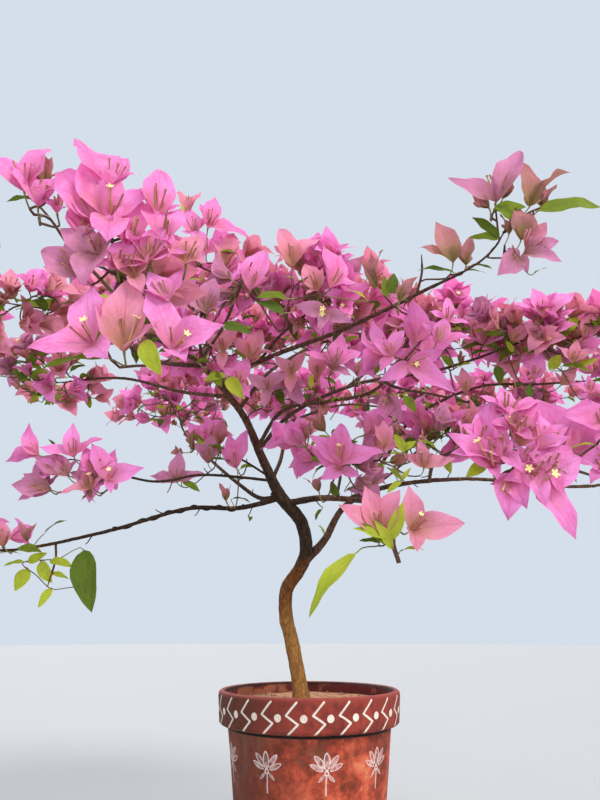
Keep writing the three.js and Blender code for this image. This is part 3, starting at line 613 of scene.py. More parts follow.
class Paint:
    """A material, built up node by node round its Principled shader."""

    def __init__(self, name, **constants):
        self.material = bpy.data.materials.new(name)
        self.material.use_nodes = True
        self.tree = self.material.node_tree
        self.shader = self.tree.nodes["Principled BSDF"]
        self.feed(self.shader, constants)

    def feed(self, node, values):
        """Links or sets sockets of a node, by name or by number."""
        for key, value in values.items():
            socket = node.inputs[key.replace("_", " ") if isinstance(key, str) else key]
            if isinstance(value, Value):
                self.tree.links.new(value.socket, socket)
            elif socket.type == "RGBA" and len(value) == 3:
                socket.default_value = (*value, 1)
            else:
                socket.default_value = value

    def node(self, kind, settings=None, values=None, output=0):
        """Adds a node: first its settings, then its sockets. Gives one of its outputs."""
        node = self.tree.nodes.new("ShaderNode" + kind)
        for key, value in (settings or {}).items():
            if key == "stops":
                for stop in value[2:]:
                    node.color_ramp.elements.new(stop[0])
                for element, (place, colour) in zip(node.color_ramp.elements, value):
                    element.position = place
                    element.color = (*colour, 1)
            else:
                setattr(node, key, value)
        self.feed(node, values or {})
        return Value(self, node.outputs[output])

    def maths(self, operation, *values, clamp=False):
        return self.node("Math", {"operation": operation, "use_clamp": clamp}, dict(enumerate(values)))

    def fraction(self, value):
        return self.maths("FRACT", value)

    def least(self, *values):
        return reduce(lambda one, other: self.maths("MINIMUM", one, other), values)

    def most(self, *values):
        return reduce(lambda one, other: self.maths("MAXIMUM", one, other), values)

    def distance(self, x, y):
        """From a point to a place that lies x across and y up from it."""
        return self.maths("SQRT", x * x + y * y)

    def place(self):
        return self.node("TexCoord", output="Object")

    def parts(self, vector):
        node = self.node("SeparateXYZ", values={0: vector}).socket.node
        return [Value(self, socket) for socket in node.outputs]

    def noise(self, scale, detail=3, rough=0.5, place=None):
        values = {"Vector": place or self.place(), "Scale": scale, "Detail": detail, "Roughness": rough}
        return self.node("TexNoise", values=values)

    def stretched(self, scale, shift=(0, 0, 0)):
        return self.node("Mapping", values={"Vector": self.place(), "Scale": scale, "Location": shift})

    def between(self, value, low, high):
        """0 below low, 1 above high, and smooth in between."""
        settings = {"interpolation_type": "SMOOTHSTEP"}
        return self.node("MapRange", settings, {"Value": value, "From Min": low, "From Max": high})

    def mix(self, factor, first, second):
        settings = {"data_type": "RGBA", "blend_type": "MIX", "clamp_factor": True}
        node = self.node("Mix", settings, {0: factor}).socket.node
        self.feed(node, {6: first, 7: second})
        return Value(self, node.outputs[2])

    def coats(self, colour, *coats):
        """Lays coats over a colour, one after the other: each is a mask and what it shows."""
        for mask, coat in coats:
            colour = self.mix(mask, colour, coat)
        return colour

    def finish(self, colour, rough, height, depth, strength=1.0):
        """Feeds the shader with what changes over the surface. A height of 1 stands for depth metres."""
        normal = self.node("Bump", values={"Height": height, "Distance": depth, "Strength": strength})
        self.feed(self.shader, {"Base Color": colour, "Roughness": rough, "Normal": normal})
        return self.material


def band_signs(paint, turn, z, wobble):
    """1 on the strokes round the band, a zigzag and a dot by turns, and 0 beside them."""
    wide = math.tau * POT["rim"] / RIM_SIGNS
    across = (paint.fraction(turn * RIM_SIGNS + 0.13) - 0.5) * wide + wobble * 3
    middle = (POT["height"] - POT["band_height"] / 2 - 1) * MM
    rise = (z - middle) * 1000 + wobble * 2

    def stroke(start, end):
        """How far outside a straight stroke of the brush a place is."""
        run, climb = end[0] - start[0], end[1] - start[1]
        x, y = across - start[0], rise - start[1]
        share = paint.maths("MULTIPLY", x * run + y * climb, 1 / (run ** 2 + climb ** 2), clamp=True)
        return paint.distance(x - share * run, y - share * climb) - ZIGZAG_HALF

    gaps = [stroke(*ends) for ends in zip(ZIGZAG, ZIGZAG[1:])]
    for dot in (DOT[0], DOT[0] - wide):
        gaps.append(paint.distance(across - dot, rise - DOT[1]) - DOT_RADIUS)
    return 1 - paint.between(paint.least(*gaps), -0.5, 0.5)


def lotus_signs(paint, turn, z, wobble):
    """1 on the brushwork of the lotuses and 0 beside it. One half is worked out and mirrored."""
    wide = math.tau * LOTUS_RADIUS / LOTUSES
    across = (paint.fraction(turn * LOTUSES + 0.25) - 0.5) * wide + wobble * 4
    rise = (z - LOTUS_HEIGHT * MM) * 1000 + wobble * 3
    half = abs(across)

    def petal(middle, size, lean):
        """How far outside a leaf-shaped petal a place is, as a share of the petal's size."""
        c, s = math.cos(math.radians(lean)), math.sin(math.radians(lean))
        x, y = half - middle[0], rise - middle[1]
        u = abs((x * c - y * s) / size[0])
        v = abs((x * s + y * c) / size[1])
        return paint.maths("SQRT", u * u + v * v * v * v) + u * v * 0.5 - 1

    outline = paint.least(*(petal(*one) for one in PETALS))
    line = 1 - paint.between(abs(outline + 0.1), 0.14, 0.26)
    brushed = paint.between(paint.noise(120, 3, 0.6), 0.4, 0.62) * 0.45 + 0.12
    wash = (1 - paint.between(outline, -0.1, 0.1)) * brushed
    stem = 1 - paint.between(paint.most(half - 1, abs(rise + 19.5) - 12.5), -0.4, 0.5)
    ring = 1 - paint.between(abs(paint.distance(half, rise + 4.6) - 2.6) - 0.9, -0.4, 0.5)
    return paint.most(line, wash, stem * 0.8, ring)


def painted_clay():
    """Matt red paint over brick, dusty and worn, with chalky white strokes: a zigzag and a dot by turns
    round the band, and lotuses with stems round the body. Its left side is darker, partly weathered and
    partly painted shade, and a painted shadow lies under the band."""
    paint = Paint("painted clay", Specular_IOR_Level=0.25)
    x, y, z = paint.parts(paint.place())
    radius = paint.distance(x, y)
    turn = paint.maths("ARCTAN2", x, y * -1) / math.tau  # 0 in front, growing to the right
    wobble = paint.noise(38, 2) - 0.5

    # the strokes, in chalky paint
    band_low = POT["height"] - POT["band_height"]
    on_band = paint.between(z, band_low * MM, (band_low + 2.5) * MM)
    outside = paint.between(radius, 0.1405, 0.1425)
    band_sign = band_signs(paint, turn, z, wobble) * on_band * outside
    under_band = 1 - paint.between(z, 0.226, 0.229)
    lotus = lotus_signs(paint, turn, z, wobble) * under_band
    chalk = paint.between(paint.noise(260, 3, 0.7), 0.3, 0.52)
    cream = paint.mix(paint.noise(90, 3), (0.6, 0.48, 0.38), (0.82, 0.76, 0.68))
    pale_pink = paint.mix(paint.noise(70, 3), (0.5, 0.33, 0.32), (0.78, 0.7, 0.66))

    # the clay and its red paint
    patches = paint.between(paint.noise(13, 5, 0.66), 0.36, 0.66)
    mottle = paint.between(paint.noise(60, 6, 0.72), 0.32, 0.68)
    brick = paint.node("ValToRGB", {"stops": [
        (0.15, (0.15, 0.026, 0.013)), (0.42, (0.33, 0.05, 0.024)), (0.65, (0.51, 0.092, 0.045)),
        (0.9, (0.57, 0.18, 0.09))]}, {0: patches * 0.55 + mottle * 0.45})
    band_red = paint.mix(mottle * 0.6 + patches * 0.4, (0.12, 0.017, 0.012), (0.33, 0.05, 0.034))

    # what darkens, dirties and wears it, and painted shade: the left side darker and a shadow line under the
    # band
    off_band = 1 - on_band
    # darker on the left: partly painted shade on the side away from the light, partly weathered paint
    left_shade_and_wear = paint.between(x * -1 + (patches - 0.5) * 0.06, 0.0, 0.1)
    dust = paint.between(paint.noise(16, 5, 0.7) + (z - 0.19) * 4, 0.56, 0.75) * off_band
    drips = paint.noise(75, 4, 0.65, paint.stretched((1, 1, 0.1), (2, 5, 1)))
    streaks = paint.between(drips, 0.52, 0.68) * off_band
    violet = paint.between(paint.noise(12, 3, place=paint.stretched((1, 1, 1), (3, 1, 2))), 0.6, 0.72)
    low_down = 1 - paint.between(z, 0.08, 0.16)
    lip = paint.between(z + wobble * 0.004, 0.2755, 0.279)
    # painted shadow: a dark line under the band's overhang, where its shade falls on the body
    shadow_under_band = paint.between(z, 0.2246, 0.2262) * (1 - paint.between(radius, 0.1385, 0.142))
    inner = (1 - paint.between(radius, 0.1365, 0.1385)) * paint.between(z, 0.235, 0.245)
    stain = paint.between(paint.noise(28, 4) - x * 0.9, 0.5, 0.62)
    foot_dust = 1 - paint.between(z + mottle * 0.03, 0.012, 0.05)
    colour = paint.coats(
        paint.mix(on_band, brick, band_red),
        # painted shade and weathering on the left side
        (left_shade_and_wear * (mottle * 0.3 + 0.64), (0.07, 0.026, 0.014)),
        (dust * 0.3, (0.2, 0.12, 0.07)),
        (streaks * (left_shade_and_wear * 0.12 + 0.14), (0.2, 0.11, 0.075)),
        (violet * low_down * 0.45, (0.1, 0.055, 0.12)),
        (lip * 0.7, (0.27, 0.055, 0.04)),
        # painted shadow under the band
        (shadow_under_band, (0.012, 0.006, 0.005)),
        (inner, paint.mix(stain, (0.1, 0.014, 0.012), (0.3, 0.1, 0.045))),
        (foot_dust * 0.6, (0.22, 0.15, 0.1)),
        (lotus * (chalk * 0.35 + 0.65), pale_pink),
        (band_sign * (chalk * 0.22 + 0.78), cream))
    height = mottle * 0.5 + paint.noise(300, 3) * 0.35 + band_sign * 0.8 + lotus * 0.4
    return paint.finish(colour, 0.62 + mottle * 0.25 + dust * 0.1, height, 0.0007)


def garden_soil():
    """Dry clods between reddish brown and tan, with fine grains on them."""
    paint = Paint("garden soil", Specular_IOR_Level=0.15)
    clods = paint.noise(55, 6, 0.7)
    grains = paint.noise(420, 3, 0.6)
    colour = paint.node("ValToRGB", {"stops": [
        (0.32, (0.13, 0.054, 0.03)), (0.46, (0.34, 0.165, 0.088)), (0.6, (0.46, 0.255, 0.148)),
        (0.78, (0.52, 0.34, 0.21))]}, {0: clods * 0.65 + grains * 0.35})
    return paint.finish(colour, 0.85 + grains * 0.15, clods + grains * 0.4, 0.002)


def bark():
    """Tan by the soil, orange brown up to the knee, dark round the fork as painted shade, and reddish in the
    crown, also on the right side of the upper trunk as painted light; with fine ridges along the wood."""
    paint = Paint("bark", Specular_IOR_Level=0.2)
    x, _, z = paint.parts(paint.place())
    ridges = paint.between(paint.noise(210, 6, 0.72, paint.stretched((1, 1, 0.45))), 0.32, 0.68)
    spots = paint.noise(34, 4, 0.6)
    height = z + (spots - 0.5) * 0.06
    tan = paint.mix(ridges, (0.2, 0.088, 0.024), (0.47, 0.235, 0.064))
    orange = paint.mix(ridges, (0.088, 0.03, 0.007), (0.27, 0.104, 0.027))
    # painted shade: the dark tones of the trunk round the fork, which lies in shade
    dark = paint.mix(ridges, (0.01, 0.006, 0.003), (0.075, 0.042, 0.024))
    reddish = paint.mix(ridges, (0.05, 0.024, 0.016), (0.2, 0.1, 0.062))
    # painted light: the right side of the upper trunk, where the light falls, takes the reddish tone
    lit_right_side = paint.between(x, 0.004, 0.02) * paint.between(height, 0.45, 0.475)
    scars = paint.between(paint.noise(80, 2, place=paint.stretched((1, 1, 0.6), (5, 2, 1))), 0.66, 0.72)
    pits = paint.between(paint.noise(520, 3, 0.6), 0.54, 0.64)
    colour = paint.coats(
        tan,
        (paint.between(height, 0.37, 0.42), orange),
        # painted shade round the fork
        (paint.between(height, 0.462, 0.492), dark),
        # reddish bark in the crown, and painted light on the right side of the upper trunk
        (paint.most(lit_right_side, paint.between(height, 0.6, 0.7)), reddish),
        (scars * 0.6, (0.03, 0.016, 0.01)),
        (pits * 0.4, (0.05, 0.025, 0.014)))
    return paint.finish(colour, 0.7 + ridges * 0.25, ridges + spots * 0.6 - pits * 0.4, 0.0015)


def fine_coat(name):
    """A plain coat for what is too small and too common for a pattern with a place."""
    dull, bright, grains, rough, shine = FINE_COATS[name]
    paint = Paint(name, Specular_IOR_Level=shine, Roughness=rough)
    paint.feed(paint.shader, {"Base Color": paint.mix(paint.noise(grains, 2), dull, bright)})
    return paint.material


def thin_sheet(name, looks, veins, relief):
    """Papery bract or leaf, drawn in its own outline's map: the sheets lie side by side in the map, each
    a little lighter or deeper than the next, with a midrib, side veins and a net between them."""
    light, deep, foot, vein, through, blush, glow = looks
    paint = Paint(name, Specular_IOR_Level=0.16)
    across, along, _ = paint.parts(paint.node("UVMap", {"uv_map": "OFBake"}))
    column, row = paint.maths("FLOOR", across * TILES), paint.maths("FLOOR", along * TILES)
    u, v = across * TILES - column, along * TILES - row
    which = paint.fraction((column * 7 + row * 3) / 8)  # how deep this sheet's tone is
    side = abs(u - 0.5) * 2

    sheet_map = paint.node("CombineXYZ", values={0: across, 1: along})
    cloud = paint.noise(14, 3, 0.5, sheet_map)
    crinkle = paint.noise(26, 4, 0.6, sheet_map)
    rib = 1 - paint.between(side + cloud * 0.03, 0.015, 0.05)
    slant = v * veins - side * (veins * 0.32) + (cloud - 0.5) * 0.8
    side_vein = 1 - paint.between(abs(paint.fraction(slant) - 0.5), 0.01, 0.06)
    net = paint.node("TexVoronoi", {"feature": "DISTANCE_TO_EDGE"}, {"Vector": sheet_map, "Scale": 62.0})
    net_vein = 1 - paint.between(net, 0.01, 0.09)
    lines = paint.most(rib, side_vein * 0.55, net_vein * 0.36)
    blotch = paint.between(cloud * 0.6 + crinkle * 0.4, 0.38, 0.62)
    near_foot = 1 - paint.between(v + cloud * 0.3 + side * 0.12, 0.2, 0.85)
    colour = paint.coats(
        paint.mix(which * 0.55 + blotch * 0.7 - 0.15, light, deep),
        (paint.between(side, 0.55, 1) * 0.5, light),
        (near_foot * blush, foot),
        (lines * 0.6, vein))
    paint.finish(colour, 0.55 + cloud * 0.2, lines * -0.5 + crinkle * 1.6, relief, 0.8)
    surface = Value(paint, paint.shader.outputs[0])
    light_through = paint.node("BsdfTranslucent", values={"Color": through})
    both = paint.node("MixShader", values={0: glow, 1: surface, 2: light_through})
    paint.tree.links.new(both.socket, paint.tree.nodes["Material Output"].inputs["Surface"])
    return paint.material


# Routes, rods and pieces


def unit(vector):
    return vector / max(np.linalg.norm(vector), 1e-9)


class Route:
    """A line through space that knows the place at any share of its length."""

    def __init__(self, places):
        self.places = np.asarray(places, float)
        steps = np.linalg.norm(np.diff(self.places, axis=0), axis=1)
        self.reach = np.concatenate([[0], np.cumsum(steps)])
        self.length = self.reach[-1]

    def at(self, share):
        along = np.clip(share, 0, 1) * self.length
        return np.stack([np.interp(along, self.reach, axis) for axis in self.places.T], -1)

    def heading(self, share):
        return unit(self.at(min(share + 0.01, 1)) - self.at(max(share - 0.01, 0)))


def smooth_route(points):
    """The line that the solid limbs follow too: a centripetal spline through the points."""
    p = np.array(points, float) * MM
    p = np.vstack([2 * p[0] - p[1], p, 2 * p[-1] - p[-2]])
    share = np.linspace(0, 1, 30, endpoint=False)[:, None]
    pieces = []
    for a, b, c, d in zip(p, p[1:], p[2:], p[3:]):
        ab, bc, cd = (math.sqrt(np.linalg.norm(step)) for step in (b - a, c - b, d - c))
        leave = ((b - a) / ab - (c - a) / (ab + bc) + (c - b) / bc) * bc
        arrive = ((c - b) / bc - (d - b) / (bc + cd) + (d - c) / cd) * bc
        pieces.append(b + leave * share
                      + (3 * (c - b) - 2 * leave - arrive) * share ** 2
                      + (2 * (b - c) + leave + arrive) * share ** 3)
    return Route(np.vstack([*pieces, p[-2]]))


def limb_routes():
    """Routes of the trunk and of every bough from inside its parent to its goal."""
    routes = {"trunk": smooth_route(TRUNK_ROUTE)}
    for name, (parent, at, goal, _, _, _, bends) in LIMBS.items():
        start = routes[parent].at(at) / MM
        if at == 1:
            start = start - routes[parent].heading(1) * OVERLAP
        end = np.array(MASSES[goal][0] if isinstance(goal, str) else goal, float)
        left = unit(np.array((start[1] - end[1], end[0] - start[0], 0)))
        middle = [start + (end - start) * share + left * sway + UP * lift for share, lift, sway in bends]
        routes[name] = smooth_route([start, *middle, end])
    return routes


def rods(runs, facets):
    """One mesh of round, capped rods. A run is the places along a rod and its radius at each."""
    curve = bpy.data.curves.new("rods", "CURVE")
    curve.dimensions = "3D"
    curve.bevel_depth = 1
    curve.bevel_resolution = facets // 2 - 2
    curve.use_fill_caps = True
    for places, radii in runs:
        spline = curve.splines.new("POLY")
        spline.points.add(len(places) - 1)
        flat = np.column_stack([places, np.ones(len(places))])
        spline.points.foreach_set("co", flat.ravel())
        spline.points.foreach_set("radius", np.asarray(radii, float))
    carrier = bpy.data.objects.new("rods", curve)
    bpy.context.scene.collection.objects.link(carrier)
    seen = carrier.evaluated_get(bpy.context.evaluated_depsgraph_get())
    mesh = bpy.data.meshes.new_from_object(seen)
    bpy.data.objects.remove(carrier)
    return mesh


def made_mesh(name, shape):
    """The mesh of a finished shape, which is then let go."""
    mesh = bpy.data.meshes.new(name)
    shape.to_mesh(mesh)
    shape.free()
    return mesh


def add_piece(name, mesh, material, replaced=()):
    """Puts a finished mesh into the scene, riding on the plant and standing for its solids."""
    mesh.shade_smooth()
    mesh.materials.clear()
    mesh.materials.append(material)
    piece = bpy.data.objects.new(name, mesh)
    bpy.context.scene.collection.objects.link(piece)
    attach(piece, "root")
    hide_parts(*replaced)


# Pot and soil


def potter_profile():
    """Radius and height round the pot's wall, from the middle of the underside to that of the floor. Its
    edges are rounded off by small steps."""
    height, band = POT["height"], POT["height"] - POT["band_height"]
    inner = POT["rim"] - POT["wall"]
    return [
        (0, 0), (60, 0), (POT["foot"] - 5, 0), (POT["foot"] - 1, 1.5), (POT["foot"], 5),
        (POT["neck"], band - 3), (POT["neck"], band), (POT["band_foot"] - 3, band),
        (POT["band_foot"], band + 2.5), (POT["rim"] - 0.4, height - 7), (POT["rim"] - 1.5, height - 2.5),
        (POT["rim"] - 5, height), (inner + 5, height), (inner + 1.5, height - 2), (inner, height - 6),
        (inner - 1, SOIL_LEVEL), (POT["foot"] - POT["wall"], POT["floor"]), (0, POT["floor"]),
    ]


def make_pot(material):
    """The profile spun round into the pot, with the long stretches divided so that they can swell."""
    shape = bmesh.new()
    profile = [shape.verts.new((radius * MM, 0, height * MM)) for radius, height in potter_profile()]
    for a, b in zip(profile, profile[1:]):
        shape.edges.new((a, b))
    long_edges = [edge for edge in shape.edges if edge.calc_length() > 30 * MM]
    bmesh.ops.subdivide_edges(shape, edges=long_edges, cuts=14)
    bmesh.ops.spin(shape, geom=shape.verts[:] + shape.edges[:], axis=(0, 0, 1), cent=(0, 0, 0),
                   angle=math.tau, steps=160, use_merge=True)
    bmesh.ops.remove_doubles(shape, verts=shape.verts[:], dist=1e-6)
    bmesh.ops.recalc_face_normals(shape, faces=shape.faces[:])
    for vert in shape.verts:  # hand-thrown: above its foot it is never quite round
        if vert.co.z > 6 * MM:
            out = Vector((vert.co.x, vert.co.y, 0))
            swell = noise.noise(vert.co * 9) * 0.9 + noise.noise(vert.co * 45) * 0.22
            vert.co += out.normalized() * swell * MM
    add_piece("clay_pot", made_mesh("clay_pot", shape), material, ["pot"])


def add_clods(shape, inner):
    """Clods and grit on top of the soil, but none where the trunk stands."""
    dice = random.Random(5)
    for _ in range(CLODS):
        angle, reach = dice.uniform(0, math.tau), inner * 0.96 * math.sqrt(dice.random())
        x, y = reach * math.cos(angle), reach * math.sin(angle)
        if math.hypot(x - TRUNK_ROUTE[1][0] * MM, y) < 24 * MM:
            continue
        size = dice.uniform(0.7, 2.6) * MM * dice.uniform(0.6, 1.2)
        made = bmesh.ops.create_icosphere(shape, subdivisions=1, radius=size)["verts"]
        middle = Vector((x, y, SOIL_LEVEL * MM))
        for vert in made:
            lump = 1 + 0.35 * noise.noise(vert.co * 700 + middle * 90)
            vert.co = middle + vert.co * lump


def make_soil(material):
    """The soil from the pot's floor to below its rim: a lumpy top, a plain side and clods."""
    inner = (POT["rim"] - POT["wall"] - 1.6) * MM  # just short of the wall
    shape = bmesh.new()
    bmesh.ops.create_grid(shape, x_segments=110, y_segments=110, size=inner)
    for vert in shape.verts:  # the square grid is drawn out into a disc
        x, y = vert.co.x / inner, vert.co.y / inner
        vert.co = Vector((x * math.sqrt(1 - y * y / 2), y * math.sqrt(1 - x * x / 2), 0)) * inner
    for vert in shape.verts:
        edge = vert.co.length / inner
        lumps = noise.fractal(vert.co * 42, 0.8, 2.1, 4) * 1.8 + noise.noise(vert.co * 14) * 1.6
        sunk = 1.4 * edge ** 4
        vert.co.z = SOIL_LEVEL * MM + (lumps - sunk) * MM * (1 - 0.5 * edge ** 8)
    edges = [edge for edge in shape.edges if edge.is_boundary]
    side = bmesh.ops.extrude_edge_only(shape, edges=edges)["geom"]
    shrink = (POT["foot"] - POT["wall"] - 1) * MM / inner
    for item in side:
        if isinstance(item, bmesh.types.BMVert):
            item.co = Vector((item.co.x * shrink, item.co.y * shrink, (POT["floor"] + 0.5) * MM))
    bmesh.ops.contextual_create(shape, geom=[item for item in side if isinstance(item, bmesh.types.BMEdge)])
    add_clods(shape, inner)
    bmesh.ops.recalc_face_normals(shape, faces=shape.faces[:])
    add_piece("soil_bed", made_mesh("soil_bed", shape), material, ["soil"])


# Trunk and boughs


def bark_relief(mesh, length, thick, trunk):
    """Pushes a rod's surface in and out: long ridges, small knots, and roots' flare on the trunk."""
    corners = np.zeros(len(mesh.loops) * 2)
    mesh.uv_layers[0].data.foreach_get("uv", corners)
    tips = np.zeros(len(mesh.loops), int)
    mesh.loops.foreach_get("vertex_index", tips)
    spot = np.zeros((len(mesh.vertices), 2))
    spot[tips] = corners.reshape(-1, 2)
    rough = min(0.9, thick / 16) * MM
    for vert, (share, round_) in zip(mesh.vertices, spot):
        angle, along = round_ * math.tau, share * length
        ring = Vector((math.cos(angle), math.sin(angle), along / 0.016))
        ridges = noise.fractal(ring * 2.1, 0.9, 2.2, 4)
        knots = max(0, noise.noise(Vector((ring.x * 0.9, ring.y * 0.9, along / 0.022 + 7))) - 0.25)
        push = ridges * 0.8 * rough + knots * 2.4 * rough
        if trunk:
            height = max(0, vert.co.z - SOIL_LEVEL * MM)
            push += 3.5 * MM * math.exp(-height / 0.012) * (1 + 0.3 * math.sin(5 * angle))
        vert.co += vert.normal * push


def radii_along(name, share):
    """Radius of the trunk or of a bough at shares of its length."""
    thick, thin, taper = (TRUNK_THICK, TRUNK_THIN, 1) if name == "trunk" else LIMBS[name][3:6]
    return (thin + (thick - thin) * (1 - share) ** taper) / 2 * MM


def limb_mesh(name, route):
    """The trunk or one bough. A bough swells where it leaves its parent, and inside its mass it thins out
    to a twig."""
    thick = TRUNK_THICK if name == "trunk" else LIMBS[name][3]
    spacing = 0.0016 + thick * 0.00011  # between the rings of the rod, in metres
    share = np.linspace(0, 1, max(12, int(route.length / spacing)))
    radii = radii_along(name, share)
    if name != "trunk":
        radii = radii * (1 + 0.35 * np.exp(-share * route.length / (0.9 * thick * MM)))
        if isinstance(LIMBS[name][2], str):
            radii = np.where(share > 0.75, np.interp(share, [0.75, 1], [1, 0.45]), 1) * radii
    facets = 32 if thick > 18 else 20 if thick > 9 else 12  # the thicker, the rounder
    mesh = rods([(route.at(share), radii)], facets)
    bark_relief(mesh, route.length, thick, name == "trunk")
    return mesh


def winding_shoot(route):
    """The thin old shoot that winds round the low left bough."""
    steps = 90
    strand = route.at(np.linspace(0.13, 0.56, steps))
    wind = np.linspace(0, 5 * math.tau, steps)[:, None]
    away = UP * np.cos(wind) + np.array((0, 1, 0)) * np.sin(wind)
    strand += away * np.linspace(4.6, 3.4, steps)[:, None] * MM
    return rods([(strand, np.full(steps, 1.2 * MM))], 8)


def make_wood(material, routes):
    """The trunk and all boughs in one barked mesh."""
    shape = bmesh.new()
    meshes = [limb_mesh(name, route) for name, route in routes.items()]
    meshes.append(winding_shoot(routes["left_low"]))
    for mesh in meshes:
        shape.from_mesh(mesh)
        bpy.data.meshes.remove(mesh)
    nodes = ["trunk"] + [f"{name}_bough" for name in LIMBS]
    add_piece("barked_limbs", made_mesh("barked_limbs", shape), material, nodes)


# What grows on the boughs


class Region:
    """The room a mass takes up: tells how deep inside it a place is."""

    def __init__(self, node):
        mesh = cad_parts[node].data
        places = [vert.co.copy() for vert in mesh.vertices]
        self.tree = BVHTree.FromPolygons(places, [tuple(face.vertices) for face in mesh.polygons])
        low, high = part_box(node)
        self.low, self.high = np.array(low), np.array(high)

    def depth(self, place):
        near, normal, _, gap = self.tree.find_nearest(Vector(place))
        return gap if (Vector(place) - near).dot(normal) < 0 else -gap


class Crown:
    """Everything that grows on the boughs, gathered as numbers until the meshes are made."""

    def __init__(self):
        self.twigs = []
        self.stalks = []
        self.bracts = {tint: [] for tint in TINTS}
        self.leaves = {shade: [] for shade in LEAF_SHADES}
        self.tubes = {"closed": [], "open": []}
        self.stars = []


class Node:
    """A place on the wood that a twig can start from: its heading, how far along the twigs it is from the
    bough, the node before it, and how many twigs it carries."""

    def __init__(self, place, heading, run=0.0, before=None):
        self.place = place
        self.heading = heading
        self.run = run
        self.before = before
        self.load = 0


class SeenHead:
    """A head that the picture shows: its foot, its axis, and each bract's chord with how far the bract
    turns to the viewer. Where only two bracts show, the third stands behind them."""

    def __init__(self, name, tint, stars, foot, tips, broad=None):
        self.tint, self.stars = tint, stars
        kind = "young" if tint == "young" else "fore" if name in ("fore_left", "fore_right") else "other"
        self.broad = broad or BROAD[kind]
        depth = foot[2] if len(foot) == 3 else HEAD_DEPTHS[name]
        self.foot = seen_at(*foot[:2], depth)
        chords = [seen_at(tip[0], tip[1], depth - tip[2]) - self.foot for tip in tips]
        turns = [tip[3] if len(tip) > 3 else None for tip in tips] + [None]
        middle = sum(unit(chord) for chord in chords) / len(chords)
        if len(chords) == 2:
            reach = np.linalg.norm(chords[0])
            chords.append(unit(unit(middle) * 0.8 - NEARER * 0.75) * reach * 0.95)
            self.axis = unit(unit(middle) - NEARER * 0.2)
        else:
            face = unit(np.cross(chords[1] - chords[0], chords[2] - chords[0]))
            clear = np.linalg.norm(middle) > 0.35 and abs(face.dot(unit(middle))) > 0.3
            if face.dot(middle if clear else NEARER) < 0:
                face = -face
            self.axis = unit(middle + face * 0.55)
        self.bracts = list(zip(chords, turns))


def across_any(direction, dice):
    """A random unit vector square to a direction."""
    while True:
        guess = np.array([dice.gauss(0, 1) for _ in range(3)])
        flat = guess - direction * guess.dot(direction)
        if np.linalg.norm(flat) > 0.1:
            return unit(flat)


def bow(start, leave, end, arrive, count):
    """Places along a smooth bow that leaves start and reaches end in the given directions."""
    pull = np.linalg.norm(end - start) * 0.9
    t = np.linspace(0, 1, count)[:, None]
    return ((2 * t ** 3 - 3 * t ** 2 + 1) * start + (t ** 3 - 2 * t ** 2 + t) * leave * pull
            + (3 * t ** 2 - 2 * t ** 3) * end + (t ** 3 - t ** 2) * arrive * pull)


def sheet(dice, **shape):
    """The numbers of one bract or leaf, with a phase for its ripple and a tile of the map."""
    return dict(shape, phase=dice.random(), tile=dice.randrange(TILES * TILES))


def add_leaf(crown, foot, heading, size, dice):
    """A stalked leaf: it leaves along heading, opens flat and lets its tip hang."""
    stalk_end = foot + heading * size * 0.2 + UP * size * 0.03
    crown.stalks.append((np.array([foot, (foot + stalk_end) / 2 + UP * 0.0006, stalk_end]), LEAF_STALK))
    out = heading * (1, 1, 0.35)
    out = unit(out if np.linalg.norm(out) > 0.2 else across_any(UP, dice))
    up = unit(UP + across_any(UP, dice) * 0.35 - out * UP.dot(out))
    up = unit(up - out * up.dot(out))
    shade = dice.choices(list(LEAF_SHADES), LEAF_SHADES.values())[0]
    droop = dice.uniform(15, 75)
    crown.leaves[shade].append(sheet(
        dice, foot=stalk_end, axis=up, out=out, length=size, width=size * dice.uniform(0.24, 0.31),
        start=dice.uniform(55, 85), end=85 + droop, curl=dice.uniform(-10, 35),
        fold=dice.uniform(8, 42), spread=dice.uniform(0, 14), ripple=0.03))


def add_tubes(crown, foot, axis, size, outs, open_share, stars, dice):
    """The slim tube flowers in the middle of a head, one by each bract."""
    for n, out in enumerate(outs):
        tube = size * dice.uniform(0.3, 0.44)
        root = foot + out * 0.003 + axis * 0.006
        lean = unit(axis + out * dice.uniform(0.05, 0.4) + across_any(axis, dice) * 0.16)
        kind = "open" if n < stars or dice.random() < open_share else "closed"
        along = np.array([0, 0.3, 0.55, 0.8, 1])[:, None]
        places = root + lean * tube * along + across_any(lean, dice) * 0.001 * along ** 2
        girth = np.array([0.6, 0.95, 0.65, 0.7, 1.1 if kind == "open" else 1.0]) * MM
        crown.tubes[kind].append((places, girth))
        if n < stars or (kind == "open" and dice.random() < 0.35):
            crown.stars.append((places[-1], lean, dice.uniform(0.0033, 0.0042), dice.random()))


def add_head(crown, foot, axis, size, openness, tint, dice):
    """One head: three bracts round three tube flowers."""
    first = across_any(axis, dice)
    second = np.cross(axis, first)
    outs = []
    for n in range(3):
        angle = math.tau * n / 3 + dice.uniform(-0.25, 0.25)
        out = first * math.cos(angle) + second * math.sin(angle)
        outs.append(out)
        length = size * dice.uniform(0.88, 1.08)
        start = 8 + 16 * openness
        end = start + (12 + 54 * openness) * dice.uniform(0.6, 1.3)
        crown.bracts[tint].append(sheet(
            dice, foot=foot + out * 0.0012, axis=axis, out=out, length=length,
            width=length * dice.uniform(0.28, 0.36), start=start, end=end,
            curl=dice.uniform(-15, 70) * openness, fold=dice.uniform(30, 50) - 12 * openness,
            spread=dice.uniform(-22, 22) * openness, ripple=dice.uniform(0.03, 0.08)))
    if size > 0.03:
        add_tubes(crown, foot, axis, size, outs, 0.16 + 0.2 * openness, 0, dice)


